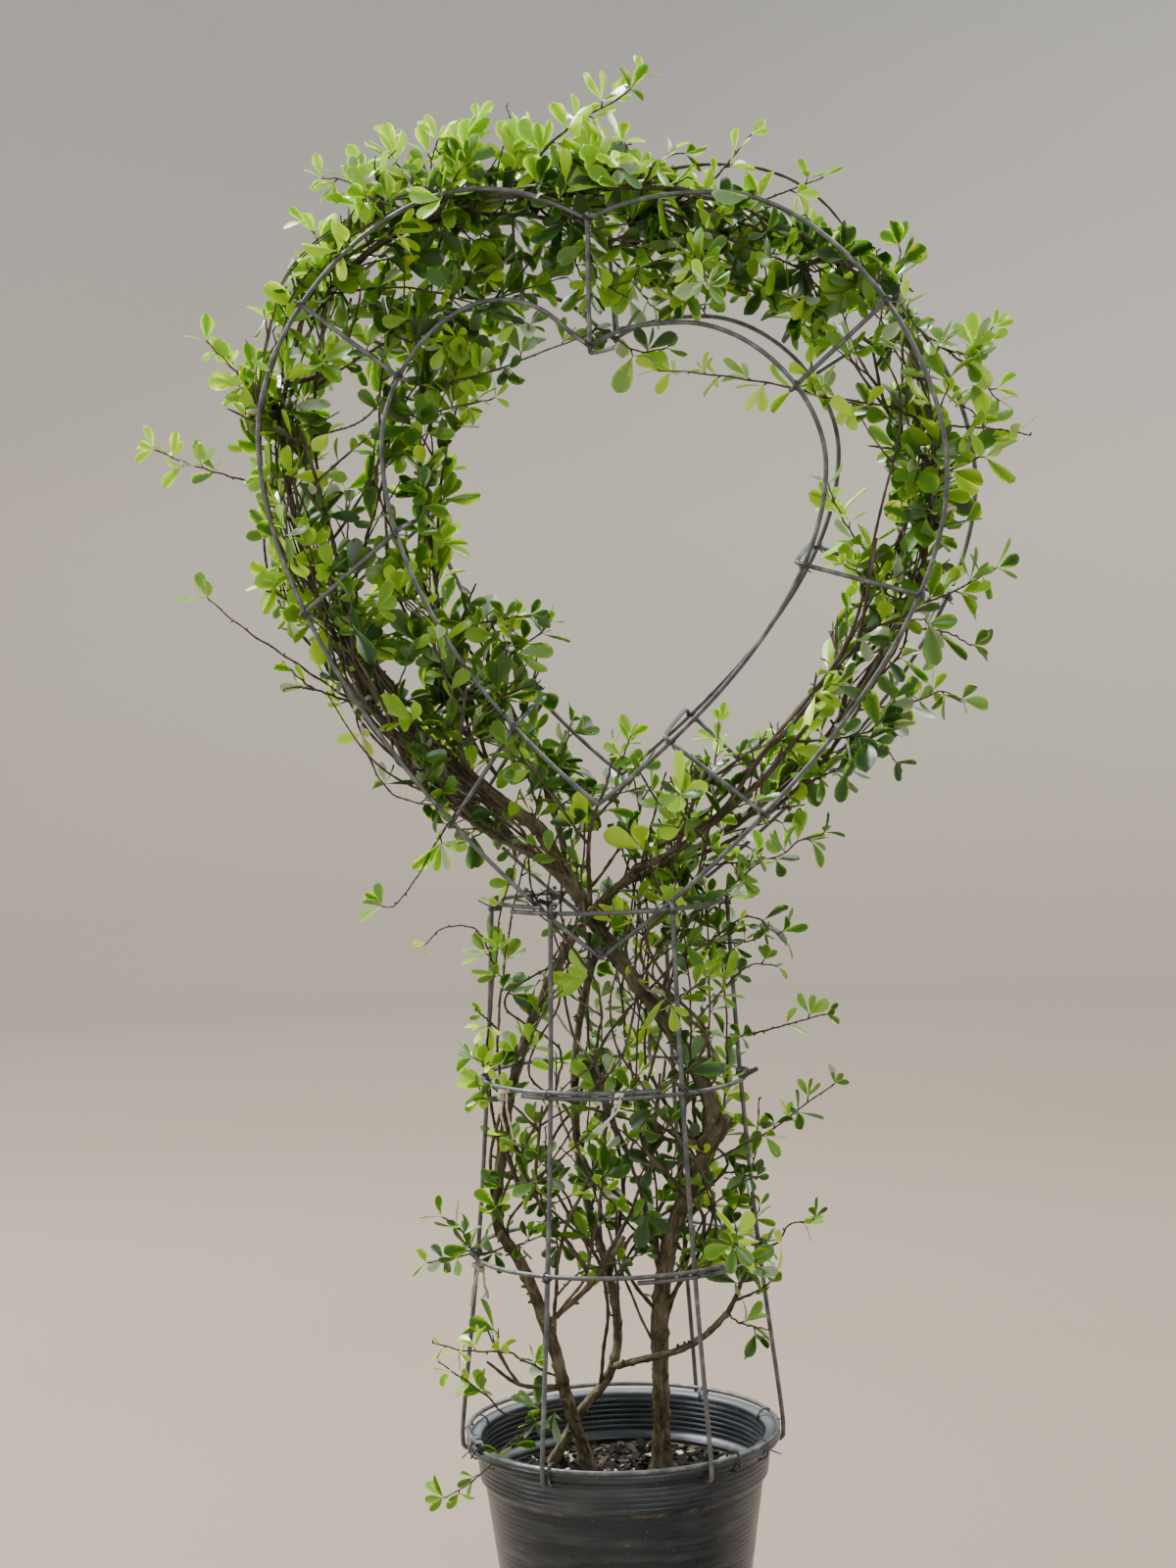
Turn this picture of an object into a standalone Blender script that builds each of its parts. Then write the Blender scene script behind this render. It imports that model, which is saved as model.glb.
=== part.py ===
"""Potted heart topiary: a shrub trained up a wire cage and round a wire heart, in a round nursery pot.

Units are metres and +Z is up. The origin is the middle of the pot's flat underside, the heart faces -Y.
Wires, stems and boughs are faceted tubes; each mass of foliage is one solid of twigs and leaves.
"""

import math
import random

import bmesh
import bpy
import numpy as np
from mathutils import Vector
from mathutils.bvhtree import BVHTree

for old in list(bpy.data.objects):
    bpy.data.objects.remove(old)

# Fits between pieces
GAP = 0.0003

# Pot and soil
POT_HEIGHT = 0.270
POT_RIM_RADIUS = 0.150
POT_LIP = 0.010
POT_COLLAR_RADIUS = 0.138
POT_COLLAR_DROP = 0.024
POT_BODY_RADIUS = 0.1295
POT_BASE_RADIUS = 0.103
POT_WALL = 0.002
SOIL_TOP = 0.222
ROUND_SEGMENTS = 28

# Wire cage
WIRE = 0.0025
WELD = 2 * WIRE + 2 * GAP
WIRE_SIDES = 5
RIM_RING = (0.1482, POT_HEIGHT + 0.0029)
LOW_RING = (0.1390, 0.445)
MID_RING = (0.1255, 0.611)
TOP_RING = (0.1065, 0.778)
CAGE_TURN = math.radians(8.5)
UPRIGHTS = 6
HOOK_RADIUS = 0.1428
HOOK_Z = POT_HEIGHT - POT_LIP - WIRE - 2 * GAP

# Wire heart, measured in its own plane from its tip: across, and up
HEART_SEAT = (0.000, 0.731)
HEART_LEAN = math.radians(1.3)
HEART_TILT = math.radians(6.0)
HEART_DEPTH = 0.070
OUTER_RIGHT = {"notch": 0.671, "lobe": (0.112, 0.692), "wide": (0.317, 0.442)}
OUTER_LEFT = {"notch": 0.671, "lobe": (0.100, 0.700), "wide": (0.308, 0.479)}
INNER_RIGHT = {"notch": 0.416, "lobe": (0.081, 0.435), "wide": (0.210, 0.306)}
INNER_LEFT = {"notch": 0.416, "lobe": (0.082, 0.458), "wide": (0.193, 0.326)}
OUTER_BOW = {"notch_angle": 0.445, "tip_angle": 0.65, "crown": 0.442, "shoulder": 0.470, "flank": 0.348}
INNER_BOW = {"notch_angle": 0.475, "tip_angle": 0.67, "crown": 0.557, "shoulder": 0.495, "flank": 0.377}
INNER_RISE = 0.144
BACK_OUTER_STRETCH = 1.08
BACK_INNER_SHIFT = (0.005, 0.022)
STAPLES = {
    "notch": ("right", 0.000, 0.000),
    "top_left": ("left", 0.296, 0.318),
    "mid_left": ("left", 0.586, 0.534),
    "low_left": ("left", 0.818, 0.845),
    "top_right": ("right", 0.295, 0.310),
    "mid_right": ("right", 0.562, 0.562),
    "low_right": ("right", 0.800, 0.866),
}
STAPLE_END = 0.005
STAPLE_BEND = 0.008

# Limbs
LIMB_STEP = 0.034

# Foliage: each leaf is larger than life, so that few enough of them fill the crown
LEAF_LENGTH = (0.048, 0.064)
LEAF_WIDTH = 0.56
LEAF_THICKNESS = 0.0015
LEAF_WIDEST = 0.64
LEAF_SPACING = 0.026
TWIG_RADIUS = (0.0016, 0.0009)
TWIG_JOINTS = 3
TWIG_LENGTH = (0.062, 0.100)
TWIG_LIFT = 0.12
TWIG_SPREAD = math.radians(58)
SPINE_RADIUS = (0.0026, 0.0015)
SPINE_STEP = 0.022
GOLDEN_ANGLE = math.pi * (3 - math.sqrt(5))
AIR = 0.0006
MASS_REACH = 0.125
MASS_EDGE = 0.004
FIRST_SEED = 40


def principled(name, colour, roughness, metallic=0.0):
    """A plain Principled material; colour is linear RGB."""
    material = bpy.data.materials.new(name)
    material.use_nodes = True
    shader = material.node_tree.nodes["Principled BSDF"]
    shader.inputs["Base Color"].default_value = (*colour, 1.0)
    shader.inputs["Roughness"].default_value = roughness
    shader.inputs["Metallic"].default_value = metallic
    material.diffuse_color = (*colour, 1.0)
    return material


POT_PLASTIC = principled("pot_plastic", (0.030, 0.031, 0.034), 0.55)
POTTING_SOIL = principled("potting_soil", (0.060, 0.045, 0.035), 0.95)
WIRE_STEEL = principled("wire_steel", (0.130, 0.135, 0.145), 0.45, 0.8)
STEM_BARK = principled("stem_bark", (0.150, 0.105, 0.070), 0.85)
LEAF_GREEN = principled("leaf_green", (0.110, 0.240, 0.025), 0.45)


def unit(vector):
    """The vector, or each row of vectors, at length one."""
    return vector / np.linalg.norm(vector, axis=-1, keepdims=True)


def smooth_run(points, step):
    """A Catmull-Rom curve through points (x, y, z, radius), cut into even lengths of about step."""
    knots = np.array(points, float)
    knots = np.vstack([2 * knots[0] - knots[1], knots, 2 * knots[-1] - knots[-2]])
    t = np.linspace(0, 1, 17)[:-1, None]
    spans = []
    for a, b, c, d in zip(knots, knots[1:], knots[2:], knots[3:]):
        curve = 2 * b + (c - a) * t + (2 * a - 5 * b + 4 * c - d) * t**2 + (3 * b - a - 3 * c + d) * t**3
        spans.append(curve / 2)
    return even_run(np.vstack(spans + [knots[-2:-1]]), step)


def even_run(run, step):
    """The same polyline with its points spread evenly, about step apart."""
    travelled = np.concatenate([[0], np.cumsum(np.linalg.norm(np.diff(run[:, :3], axis=0), axis=1))])
    stops = np.linspace(0, travelled[-1], max(2, round(travelled[-1] / step)) + 1)
    return np.stack([np.interp(stops, travelled, run[:, k]) for k in range(run.shape[1])], axis=1)


def point_along(run, fraction):
    """The point (and radius) at a fraction of the polyline's length, with its direction there."""
    travelled = np.concatenate([[0], np.cumsum(np.linalg.norm(np.diff(run[:, :3], axis=0), axis=1))])
    place = min(max(fraction, 0.0), 1.0) * travelled[-1]
    k = min(int(np.searchsorted(travelled, place, side="right")) - 1, len(run) - 2)
    share = (place - travelled[k]) / (travelled[k + 1] - travelled[k])
    return run[k] + share * (run[k + 1] - run[k]), unit(run[k + 1, :3] - run[k, :3])


def section_axes(path, closed):
    """Two axes across the path at each point, carried along it without twist."""
    if closed:
        ahead = unit(np.roll(path, -1, axis=0) - np.roll(path, 1, axis=0))
        normal = unit(np.cross(path[0] - path.mean(axis=0), path[len(path) // 4] - path.mean(axis=0)))
        side = unit(np.cross(ahead, normal))
        return side, np.cross(ahead, side)
    ahead = unit(np.gradient(path, axis=0))
    start = np.array([0.0, 0.0, 1.0]) if abs(ahead[0, 2]) < 0.8 else np.array([1.0, 0.0, 0.0])
    side = [unit(np.cross(ahead[0], start))]
    for direction in ahead[1:]:
        side.append(unit(side[-1] - direction * side[-1].dot(direction)))
    side = np.array(side)
    return side, np.cross(ahead, side)


def tube(path, radii, sides, closed=False):
    """Corners and faces of a tube round a path, with flat ends unless it is closed."""
    path = np.asarray(path, float)
    radii = np.broadcast_to(np.asarray(radii, float), len(path))
    side, up = section_axes(path, closed)
    turn = 2 * math.pi * np.arange(sides) / sides
    ring = np.cos(turn)[None, :, None] * side[:, None] + np.sin(turn)[None, :, None] * up[:, None]
    corners = (path[:, None] + radii[:, None, None] * ring).reshape(-1, 3)
    count = len(path)
    faces = []
    for k in range(count if closed else count - 1):
        here, there = k * sides, (k + 1) % count * sides
        for j in range(sides):
            i = (j + 1) % sides
            faces.append((here + j, here + i, there + i))
            faces.append((here + j, there + i, there + j))
    if not closed:
        faces.append(tuple(reversed(range(sides))))
        faces.append(tuple(range((count - 1) * sides, count * sides)))
    return corners, faces


def put(name, corners, faces, material, collection=None):
    """A mesh object from corners and faces, shaded smooth over its shallow edges."""
    mesh = bpy.data.meshes.new(name)
    mesh.from_pydata([tuple(corner) for corner in corners], [], faces)
    mesh.materials.append(material)
    shell = bmesh.new()
    shell.from_mesh(mesh)
    bmesh.ops.recalc_face_normals(shell, faces=shell.faces)
    shell.to_mesh(mesh)
    shell.free()
    mesh.shade_smooth()
    mesh.set_sharp_from_angle(angle=math.radians(50))
    thing = bpy.data.objects.new(name, mesh)
    (collection or bpy.context.scene.collection).objects.link(thing)
    return thing


def tree_of(thing):
    """A search tree over an object's faces."""
    mesh = thing.data
    return BVHTree.FromPolygons([v.co for v in mesh.vertices], [face.vertices for face in mesh.polygons])


# What stands in the way of later pieces: the axes of wires and limbs, and the faces of every piece
RUNS = {}
TREES = {}


def spun(name, profile, material):
    """A solid of revolution about Z from a closed profile of (radius, z), whose ends lie on the axis."""
    shell = bmesh.new()
    rim = [shell.verts.new((r, 0, z)) for r, z in profile]
    edges = [shell.edges.new(pair) for pair in zip(rim, rim[1:])]
    bmesh.ops.spin(
        shell, geom=rim + edges, cent=(0, 0, 0), axis=(0, 0, 1), angle=math.tau, steps=ROUND_SEGMENTS
    )
    bmesh.ops.remove_doubles(shell, verts=shell.verts, dist=0.00005)
    corners = [v.co[:] for v in shell.verts]
    faces = [[v.index for v in f.verts] for f in shell.faces]
    shell.free()
    TREES[name] = tree_of(put(name, corners, faces, material))


def keep_clear(name, run, closed=False):
    """Notes a wire's or limb's axis, with its radius, as something that later ones give way to."""
    RUNS[name] = np.vstack([run, run[:1]]) if closed else run


def wire(name, path, closed=False):
    """A steel wire along a path, which later pieces give way to."""
    TREES[name] = tree_of(put(name, *tube(path, WIRE, WIRE_SIDES, closed), WIRE_STEEL))
    keep_clear(name, np.column_stack([path, np.full(len(path), WIRE)]), closed)


def give_way(run, skip=(), free_start=0):
    """Moves a run's points off every wire and limb noted so far, by just enough to leave GAP."""
    others = [other for name, other in RUNS.items() if name not in skip]
    starts = np.vstack([other[:-1] for other in others])
    ends = np.vstack([other[1:] for other in others])
    run = run.copy()
    spread = np.linspace(0, 1, 5)[:-1, None, None]
    for _ in range(80):
        fine = (run[None, :-1] + (run[1:] - run[:-1])[None] * spread).reshape(-1, 4)
        span = ends[:, :3] - starts[:, :3]
        reach = ((fine[:, None, :3] - starts[None, :, :3]) * span).sum(axis=2) / (span**2).sum(axis=1)
        reach = np.clip(reach, 0, 1)[..., None]
        away = fine[:, None, :3] - (starts[None, :, :3] + reach * span)
        distance = np.linalg.norm(away, axis=2) + 1e-9
        thick = starts[None, :, 3] + reach[..., 0] * (ends[:, 3] - starts[:, 3])
        short = fine[:, None, 3] + thick + 2 * AIR - distance
        worst = short.argmax(axis=1)
        rows = np.arange(len(fine))
        need = np.clip(short[rows, worst], 0, None)
        if need.max() == 0:
            break
        push = away[rows, worst] / distance[rows, worst][:, None] * need[:, None]
        push = push.reshape(4, len(run) - 1, 3)
        share = spread[:, 0, 0]
        moved = np.zeros((len(run), 3))
        moved[:-1] += (push * (1 - share)[:, None, None]).sum(axis=0)
        moved[1:] += (push * share[:, None, None]).sum(axis=0)
        moved[: free_start + 1] = 0
        run[:, :3] += 0.6 * moved
    return run


def start_clear(run, parent):
    """Cuts the first stretch off a run that starts on its parent's axis, where its flat end clears it."""
    fine = even_run(run, 0.0004)
    turn = 2 * math.pi * np.arange(8) / 8
    side, up = section_axes(fine[:, :3], False)
    for k in range(len(fine)):
        ring = fine[k, :3] + fine[k, 3] * (np.outer(np.cos(turn), side[k]) + np.outer(np.sin(turn), up[k]))
        clear = GAP
        for corner in list(ring) + [fine[k, :3]]:
            spot, normal, _, distance = TREES[parent].find_nearest(Vector(corner))
            outside = (Vector(corner) - spot).dot(normal) > 0
            clear = min(clear, distance if outside else -distance)
        if clear >= GAP:
            return fine[k:]
    return fine[-2:]


def pot_profile():
    """Round the section: flat underside, tapered wall, collar, rolled lip, then down the inside."""
    lip_low = POT_HEIGHT - POT_LIP
    step = POT_HEIGHT - POT_COLLAR_DROP
    inside = POT_COLLAR_RADIUS - POT_WALL
    return [
        (0, 0),
        (POT_BASE_RADIUS - 0.002, 0),
        (POT_BASE_RADIUS, 0.003),
        (POT_BODY_RADIUS, step - 0.006),
        (POT_BODY_RADIUS, step - 0.003),
        (POT_COLLAR_RADIUS, step),
        (POT_COLLAR_RADIUS, lip_low + 0.0005),
        (POT_RIM_RADIUS - 0.0035, lip_low),
        (POT_RIM_RADIUS, lip_low + 0.0035),
        (POT_RIM_RADIUS, POT_HEIGHT - 0.0035),
        (POT_RIM_RADIUS - 0.0032, POT_HEIGHT),
        (inside + 0.006, POT_HEIGHT),
        (inside + 0.001, POT_HEIGHT - 0.004),
        (inside, POT_HEIGHT - 0.009),
        (inside, step + 0.0015),
        (POT_BODY_RADIUS - POT_WALL, step - 0.0015),
        (POT_BODY_RADIUS - POT_WALL, step - 0.006),
        (POT_BASE_RADIUS - POT_WALL, 0.003),
        (0, 0.003),
    ]


def soil_profile():
    """The fill, a hair inside the pot's wall and floor, with a level top."""
    taper = (POT_BODY_RADIUS - POT_BASE_RADIUS) / (POT_HEIGHT - POT_COLLAR_DROP - 0.009)
    low = 0.003 + GAP
    inside = POT_BASE_RADIUS - POT_WALL - 2 * GAP
    return [(0, low), (inside, low), (inside + taper * (SOIL_TOP - low), SOIL_TOP), (0, SOIL_TOP)]


def ring_wire(name, radius, height, segments=4 * UPRIGHTS):
    """One ring of the cage, with a corner at each upright."""
    turn = CAGE_TURN + 2 * math.pi * np.arange(segments) / segments
    path = np.stack([radius * np.cos(turn), radius * np.sin(turn), np.full(segments, height)], axis=1)
    wire(name, path, closed=True)


def upright_wire(name, bearing):
    """A leg of the cage: hooked under the pot's lip, outside the rim ring, inside the two middle rings,
    outside the top ring and bent over it."""
    rim_radius = RIM_RING[0] + WELD
    top_radius = TOP_RING[0] + WELD
    profile = [
        (HOOK_RADIUS, HOOK_Z),
        (rim_radius - 0.005, HOOK_Z - 0.0015),
        (rim_radius - 0.0008, HOOK_Z + 0.0005),
        (rim_radius, HOOK_Z + 0.005),
        (rim_radius, RIM_RING[1] + 0.006),
        (LOW_RING[0] - WELD, LOW_RING[1]),
        (MID_RING[0] - WELD, MID_RING[1]),
        (top_radius, TOP_RING[1] - 0.012),
        (top_radius, TOP_RING[1] + 0.001),
        (TOP_RING[0] + 0.0040, TOP_RING[1] + WELD),
        (TOP_RING[0] + 0.0005, TOP_RING[1] + WELD + 0.0006),
    ]
    path = np.array([(r * math.cos(bearing), r * math.sin(bearing), z) for r, z in profile])
    wire(name, path)


def bezier(start, pull, push, end, count):
    """A cubic Bezier curve between two points, without its last point."""
    t = np.linspace(0, 1, count + 1)[:-1, None]
    return (1 - t) ** 3 * start + 3 * (1 - t) ** 2 * t * pull + 3 * (1 - t) * t**2 * push + t**3 * end


def heart_half(shape, bow):
    """Half a heart from notch to tip: over the lobe, round the shoulder, and down the flank."""
    notch = np.array([0.0, shape["notch"]])
    lobe, wide, tip = np.array(shape["lobe"]), np.array(shape["wide"]), np.zeros(2)
    rise = bow["notch_angle"]
    slope = bow["tip_angle"]
    leave = 0.33 * np.linalg.norm(lobe - notch) * np.array([math.cos(rise), math.sin(rise)])
    arrive = 0.33 * np.linalg.norm(wide) * np.array([math.cos(slope), math.sin(slope)])
    crown = bezier(notch, notch + leave, lobe - (bow["crown"] * lobe[0], 0), lobe, 4)
    across, down = wide[0] - lobe[0], lobe[1] - wide[1]
    shoulder = bezier(
        lobe, lobe + (bow["shoulder"] * across, 0), wide + (0, bow["shoulder"] * down), wide, 6
    )
    flank = bezier(wide, wide - (0, bow["flank"] * wide[1]), arrive, tip, 7)
    return np.vstack([crown, shoulder, flank, [tip]])


def heart_place(flat, depth):
    """Points of the heart's plane, (across, up), set in space at a depth behind the cage's axis."""
    flat = np.atleast_2d(flat)
    across = flat[:, 0] * math.cos(HEART_LEAN) + flat[:, 1] * math.sin(HEART_LEAN)
    up = flat[:, 1] * math.cos(HEART_LEAN) - flat[:, 0] * math.sin(HEART_LEAN)
    x = HEART_SEAT[0] + across
    y = depth - up * math.sin(HEART_TILT)
    z = HEART_SEAT[1] + up * math.cos(HEART_TILT)
    return np.stack([x, y, z], axis=1)


def heart_loops():
    """The four wire hearts, each as its two halves in the heart's plane and its depth."""
    loops = {}
    for where in ("front", "back"):
        for size in ("outer", "inner"):
            right, left, bow = OUTER_RIGHT, OUTER_LEFT, OUTER_BOW
            if size == "inner":
                right, left, bow = INNER_RIGHT, INNER_LEFT, INNER_BOW
            halves = {"right": heart_half(right, bow), "left": heart_half(left, bow) * (-1, 1)}
            for half in halves.values():
                if size == "inner":
                    half += (0, INNER_RISE)
                if where == "back" and size == "outer":
                    half *= (BACK_OUTER_STRETCH, 1)
                if where == "back" and size == "inner":
                    half += BACK_INNER_SHIFT
            loops[where, size] = (halves, -HEART_DEPTH if where == "front" else HEART_DEPTH)
    return loops


def heart_wire(name, halves, depth):
    """One closed heart of wire, from the notch round the right side to the tip and back up the left."""
    flat = np.vstack([halves["right"], halves["left"][-2:0:-1]])
    path = heart_place(flat, depth)
    wire(name, path, closed=True)


def on_half(half, fraction):
    """The point at a fraction of a half heart's length from the notch."""
    flat = np.column_stack([half, np.zeros(len(half))])
    return point_along(flat, fraction)[0][:2]


def staple_wire(name, side, outer_share, inner_share, loops):
    """A spacer: across the front hearts, back through the heart's thickness, and out across the back
    hearts. It lies on the outside of both planes and just within the inner hearts."""
    ends = []
    for where in ("front", "back"):
        outer = on_half(loops[where, "outer"][0][side], outer_share)
        inner = on_half(loops[where, "inner"][0][side], inner_share)
        inward = unit(inner - outer)
        proud = -WELD if where == "front" else WELD
        depth = loops[where, "outer"][1] + proud
        pair = heart_place([outer - STAPLE_END * inward, inner + (WELD + 0.0025) * inward], depth)
        ends.append(pair)
    (front_out, front_in), (back_out, back_in) = ends
    leg_front, rod, leg_back = unit(front_in - front_out), unit(back_in - front_in), unit(back_out - back_in)
    path = np.array(
        [
            front_out,
            front_in - STAPLE_BEND * leg_front,
            front_in - 0.3 * STAPLE_BEND * (leg_front - rod),
            front_in + STAPLE_BEND * rod,
            back_in - STAPLE_BEND * rod,
            back_in - 0.3 * STAPLE_BEND * (rod - leg_back),
            back_in + STAPLE_BEND * leg_back,
            back_out,
        ]
    )
    wire(name, path)


def with_heart(points):
    """Points as they are set out against an upright heart, moved forward as the heart tilts."""
    points = np.array(points, float)
    points[..., 1] -= math.tan(HEART_TILT) * np.clip(points[..., 2] - HEART_SEAT[1], 0, None)
    return points


def limb(name, points, parent=None, share=None, sides=6):
    """A stem or bough as one tapering tube through points (x, y, z, radius).

    Without a parent it stands on the soil. With share it leaves the parent's side at that fraction of its
    length, and without it goes on from the parent's tip.
    """
    points = with_heart(points)
    if parent is None:
        run = smooth_run(points, LIMB_STEP)
        run = give_way(run, free_start=1)
    elif share is None:
        tip, ahead = RUNS[parent][-1], unit(RUNS[parent][-1, :3] - RUNS[parent][-2, :3])
        start = np.append(tip[:3] + GAP * ahead, tip[3])
        lead = np.append(tip[:3] + 0.5 * LIMB_STEP * ahead, tip[3])
        run = np.vstack([[start], smooth_run([lead, *points], LIMB_STEP)])
        run = give_way(run, skip=(parent,), free_start=1)
    else:
        root = point_along(RUNS[parent], share)[0]
        root[3] = points[0][3]
        run = give_way(smooth_run([root, *points], LIMB_STEP), skip=(parent,))
        run = even_run(start_clear(run, parent), LIMB_STEP)
    corners, faces = tube(run[:, :3], run[:, 3], sides)
    if parent is None:
        corners[:sides, 2] = run[0, 2]
    TREES[name] = tree_of(put(name, corners, faces, STEM_BARK))
    keep_clear(name, run)


def leaf_shape(root, ahead, face, length, width, fat=0.0):
    """A flat eight-faced leaf, widest past its middle; fat swells it for a clearance test."""
    across = unit(np.cross(face, ahead))
    face = np.cross(ahead, across)
    middle = root + 0.55 * length * ahead
    half = 0.5 * width + fat
    thick = 0.5 * LEAF_THICKNESS + fat
    shoulder = root + LEAF_WIDEST * length * ahead
    corners = np.array(
        [
            root - fat * ahead,
            shoulder + half * across,
            root + (length + fat) * ahead,
            shoulder - half * across,
            middle + thick * face,
            middle - thick * face,
        ]
    )
    faces = [(0, 1, 4), (1, 2, 4), (2, 3, 4), (3, 0, 4), (1, 0, 5), (2, 1, 5), (3, 2, 5), (0, 3, 5)]
    return corners, faces


class Mass:
    """One mass of foliage: a stem, twigs that branch from it by a seeded rule, and their leaves."""

    def __init__(self, name, run, seed):
        self.name = name
        self.run = run
        self.chance = random.Random(seed)
        self.pieces = [tube(run[:, :3], run[:, 3], 4)]
        self.grown = []

    def fits(self, corners, faces, far):
        """True where a piece, swollen by the air round it, stays in this mass's space and is free of all
        other pieces. A far sprig may leave the space."""
        own = distance_to(self.run, corners)
        if not far:
            if own.max() > MASS_REACH:
                return False
            for other, stem in SPINES.items():
                if other != self.name and (distance_to(stem, corners) < own - MASS_EDGE).any():
                    return False
        probe = BVHTree.FromPolygons([Vector(c) for c in corners], faces)
        return not any(probe.overlap(tree) for tree in TREES.values())

    def crosses_own(self, corners, faces, carrier=None):
        """True where a piece would run through another twig or leaf of this mass."""
        probe = BVHTree.FromPolygons([Vector(c) for c in corners], faces)
        return any(probe.overlap(tree) for tree in self.grown if tree is not carrier)

    def add(self, corners, faces):
        """Keeps a piece, and returns its search tree."""
        self.pieces.append((corners, faces))
        self.grown.append(BVHTree.FromPolygons([Vector(c) for c in corners], faces))
        return self.grown[-1]

    def twig(self, start, heading, length, lift, far=False):
        """A three-sided twig from start that bends a little upwards; None where it doesn't fit."""
        radii = np.linspace(TWIG_RADIUS[0], TWIG_RADIUS[1], TWIG_JOINTS)
        share = np.linspace(0, 1, TWIG_JOINTS)[:, None]
        path = start + length * share * heading + length * lift * share**2 * np.array([0, 0, 1.0])
        outside = path.copy()
        outside[0] = start + 0.2 * (path[1] - start)
        if self.crosses_own(*tube(outside, radii + AIR, 3)):
            return None
        if not self.fits(*tube(path, radii + AIR, 3), far):
            return None
        return path, self.add(*tube(path, radii, 3))

    def leaf(self, root, ahead, face, carrier, far=False):
        """Adds a leaf where it fits."""
        length = self.chance.uniform(*LEAF_LENGTH)
        width = length * LEAF_WIDTH * self.chance.uniform(0.88, 1.1)
        beyond_twig = root + 2 * TWIG_RADIUS[0] * ahead
        if self.crosses_own(*leaf_shape(beyond_twig, ahead, face, length, width, AIR), carrier):
            return False
        if not self.fits(*leaf_shape(root, ahead, face, length, width, AIR), far):
            return False
        self.add(*leaf_shape(root, ahead, face, length, width))
        return True

    def dress(self, twig, count, far=False, first=0.3):
        """Leaves along a twig by the golden angle, and one at its tip."""
        path, carrier = twig
        run = np.column_stack([path, np.zeros(len(path))])
        azimuth = self.chance.uniform(0, math.tau)
        for k in range(count):
            share = first + (1 - first) * k / max(count - 1, 1)
            place, ahead = point_along(run, min(share, 0.985))
            side = unit(np.cross(ahead, (0.31, 0.17, 0.93)))
            up = np.cross(side, ahead)
            spread = math.radians(12 if k == count - 1 else self.chance.uniform(40, 65))
            for _ in range(4):
                azimuth += GOLDEN_ANGLE
                out = math.cos(azimuth) * side + math.sin(azimuth) * up
                heading = unit(math.cos(spread) * ahead + math.sin(spread) * out)
                face = unit(np.cross(heading, np.cross((0, -0.35, 1.0), heading)) + 0.5 * out)
                if self.leaf(place[:3], heading, face, carrier, far):
                    break


def distance_to(run, points):
    """How far each point lies from a run's axis."""
    start, span = run[:-1, :3], np.diff(run[:, :3], axis=0)
    reach = ((points[:, None] - start) * span).sum(axis=2) / (span**2).sum(axis=1)
    nearest = start + np.clip(reach, 0, 1)[..., None] * span
    return np.linalg.norm(points[:, None] - nearest, axis=2).min(axis=1)


SPINES = {}


def spine(parent, share, points):
    """A mass's stem: it goes on from its bough's tip, or leaves the limb's side where share is given."""
    thick = np.linspace(SPINE_RADIUS[0], SPINE_RADIUS[1], len(points) + 1)
    knots = [(*point, radius) for point, radius in zip(with_heart(points), thick[1:])]
    if share is None:
        tip, ahead = RUNS[parent][-1], unit(RUNS[parent][-1, :3] - RUNS[parent][-2, :3])
        start = np.append(tip[:3] + GAP * ahead, thick[0])
        lead = np.append(tip[:3] + 0.5 * SPINE_STEP * ahead, thick[0])
        run = np.vstack([[start], smooth_run([lead, *knots], SPINE_STEP)])
        return give_way(run, skip=(parent,), free_start=1)
    root = point_along(RUNS[parent], share)[0]
    root[3] = thick[0]
    run = give_way(smooth_run([root, *knots], SPINE_STEP), skip=(parent,))
    return even_run(start_clear(run, parent), SPINE_STEP)


def grow(mass, twigs, leaves_each, sprigs):
    """Sets the far sprigs first, then twigs up the stem by the golden angle, and dresses them all."""
    for tip, bare in sprigs:
        tip = with_heart(tip)
        distances = np.linalg.norm(mass.run[1:, :3] - tip, axis=1)
        root = mass.run[1 + int(distances.argmin()), :3]
        span = tip - root
        for lift in (TWIG_LIFT, 0.0, 2 * TWIG_LIFT, -TWIG_LIFT):
            length = np.linalg.norm(span) - (0 if bare else 0.85 * LEAF_LENGTH[0])
            heading = unit(span) - lift * np.array([0, 0, 1.0])
            twig = mass.twig(root, heading, length, lift, far=True)
            if twig:
                mass.dress(twig, 1 if bare else max(3, round(length / LEAF_SPACING)), far=True)
                break
    azimuth = mass.chance.uniform(0, math.tau)
    for k in range(twigs):
        share = 0.12 + 0.86 * (k + 0.5) / twigs
        place, ahead = point_along(mass.run, share)
        side = unit(np.cross(ahead, (0.11, 0.97, 0.2)))
        up = np.cross(side, ahead)
        for _ in range(9):
            azimuth += GOLDEN_ANGLE
            out = math.cos(azimuth) * side + math.sin(azimuth) * up
            spread = TWIG_SPREAD * mass.chance.uniform(0.75, 1.2)
            heading = unit(math.cos(spread) * ahead + math.sin(spread) * out)
            length = mass.chance.uniform(*TWIG_LENGTH)
            twig = mass.twig(place[:3], heading, length, TWIG_LIFT)
            if twig:
                mass.dress(twig, leaves_each)
                break


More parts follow.
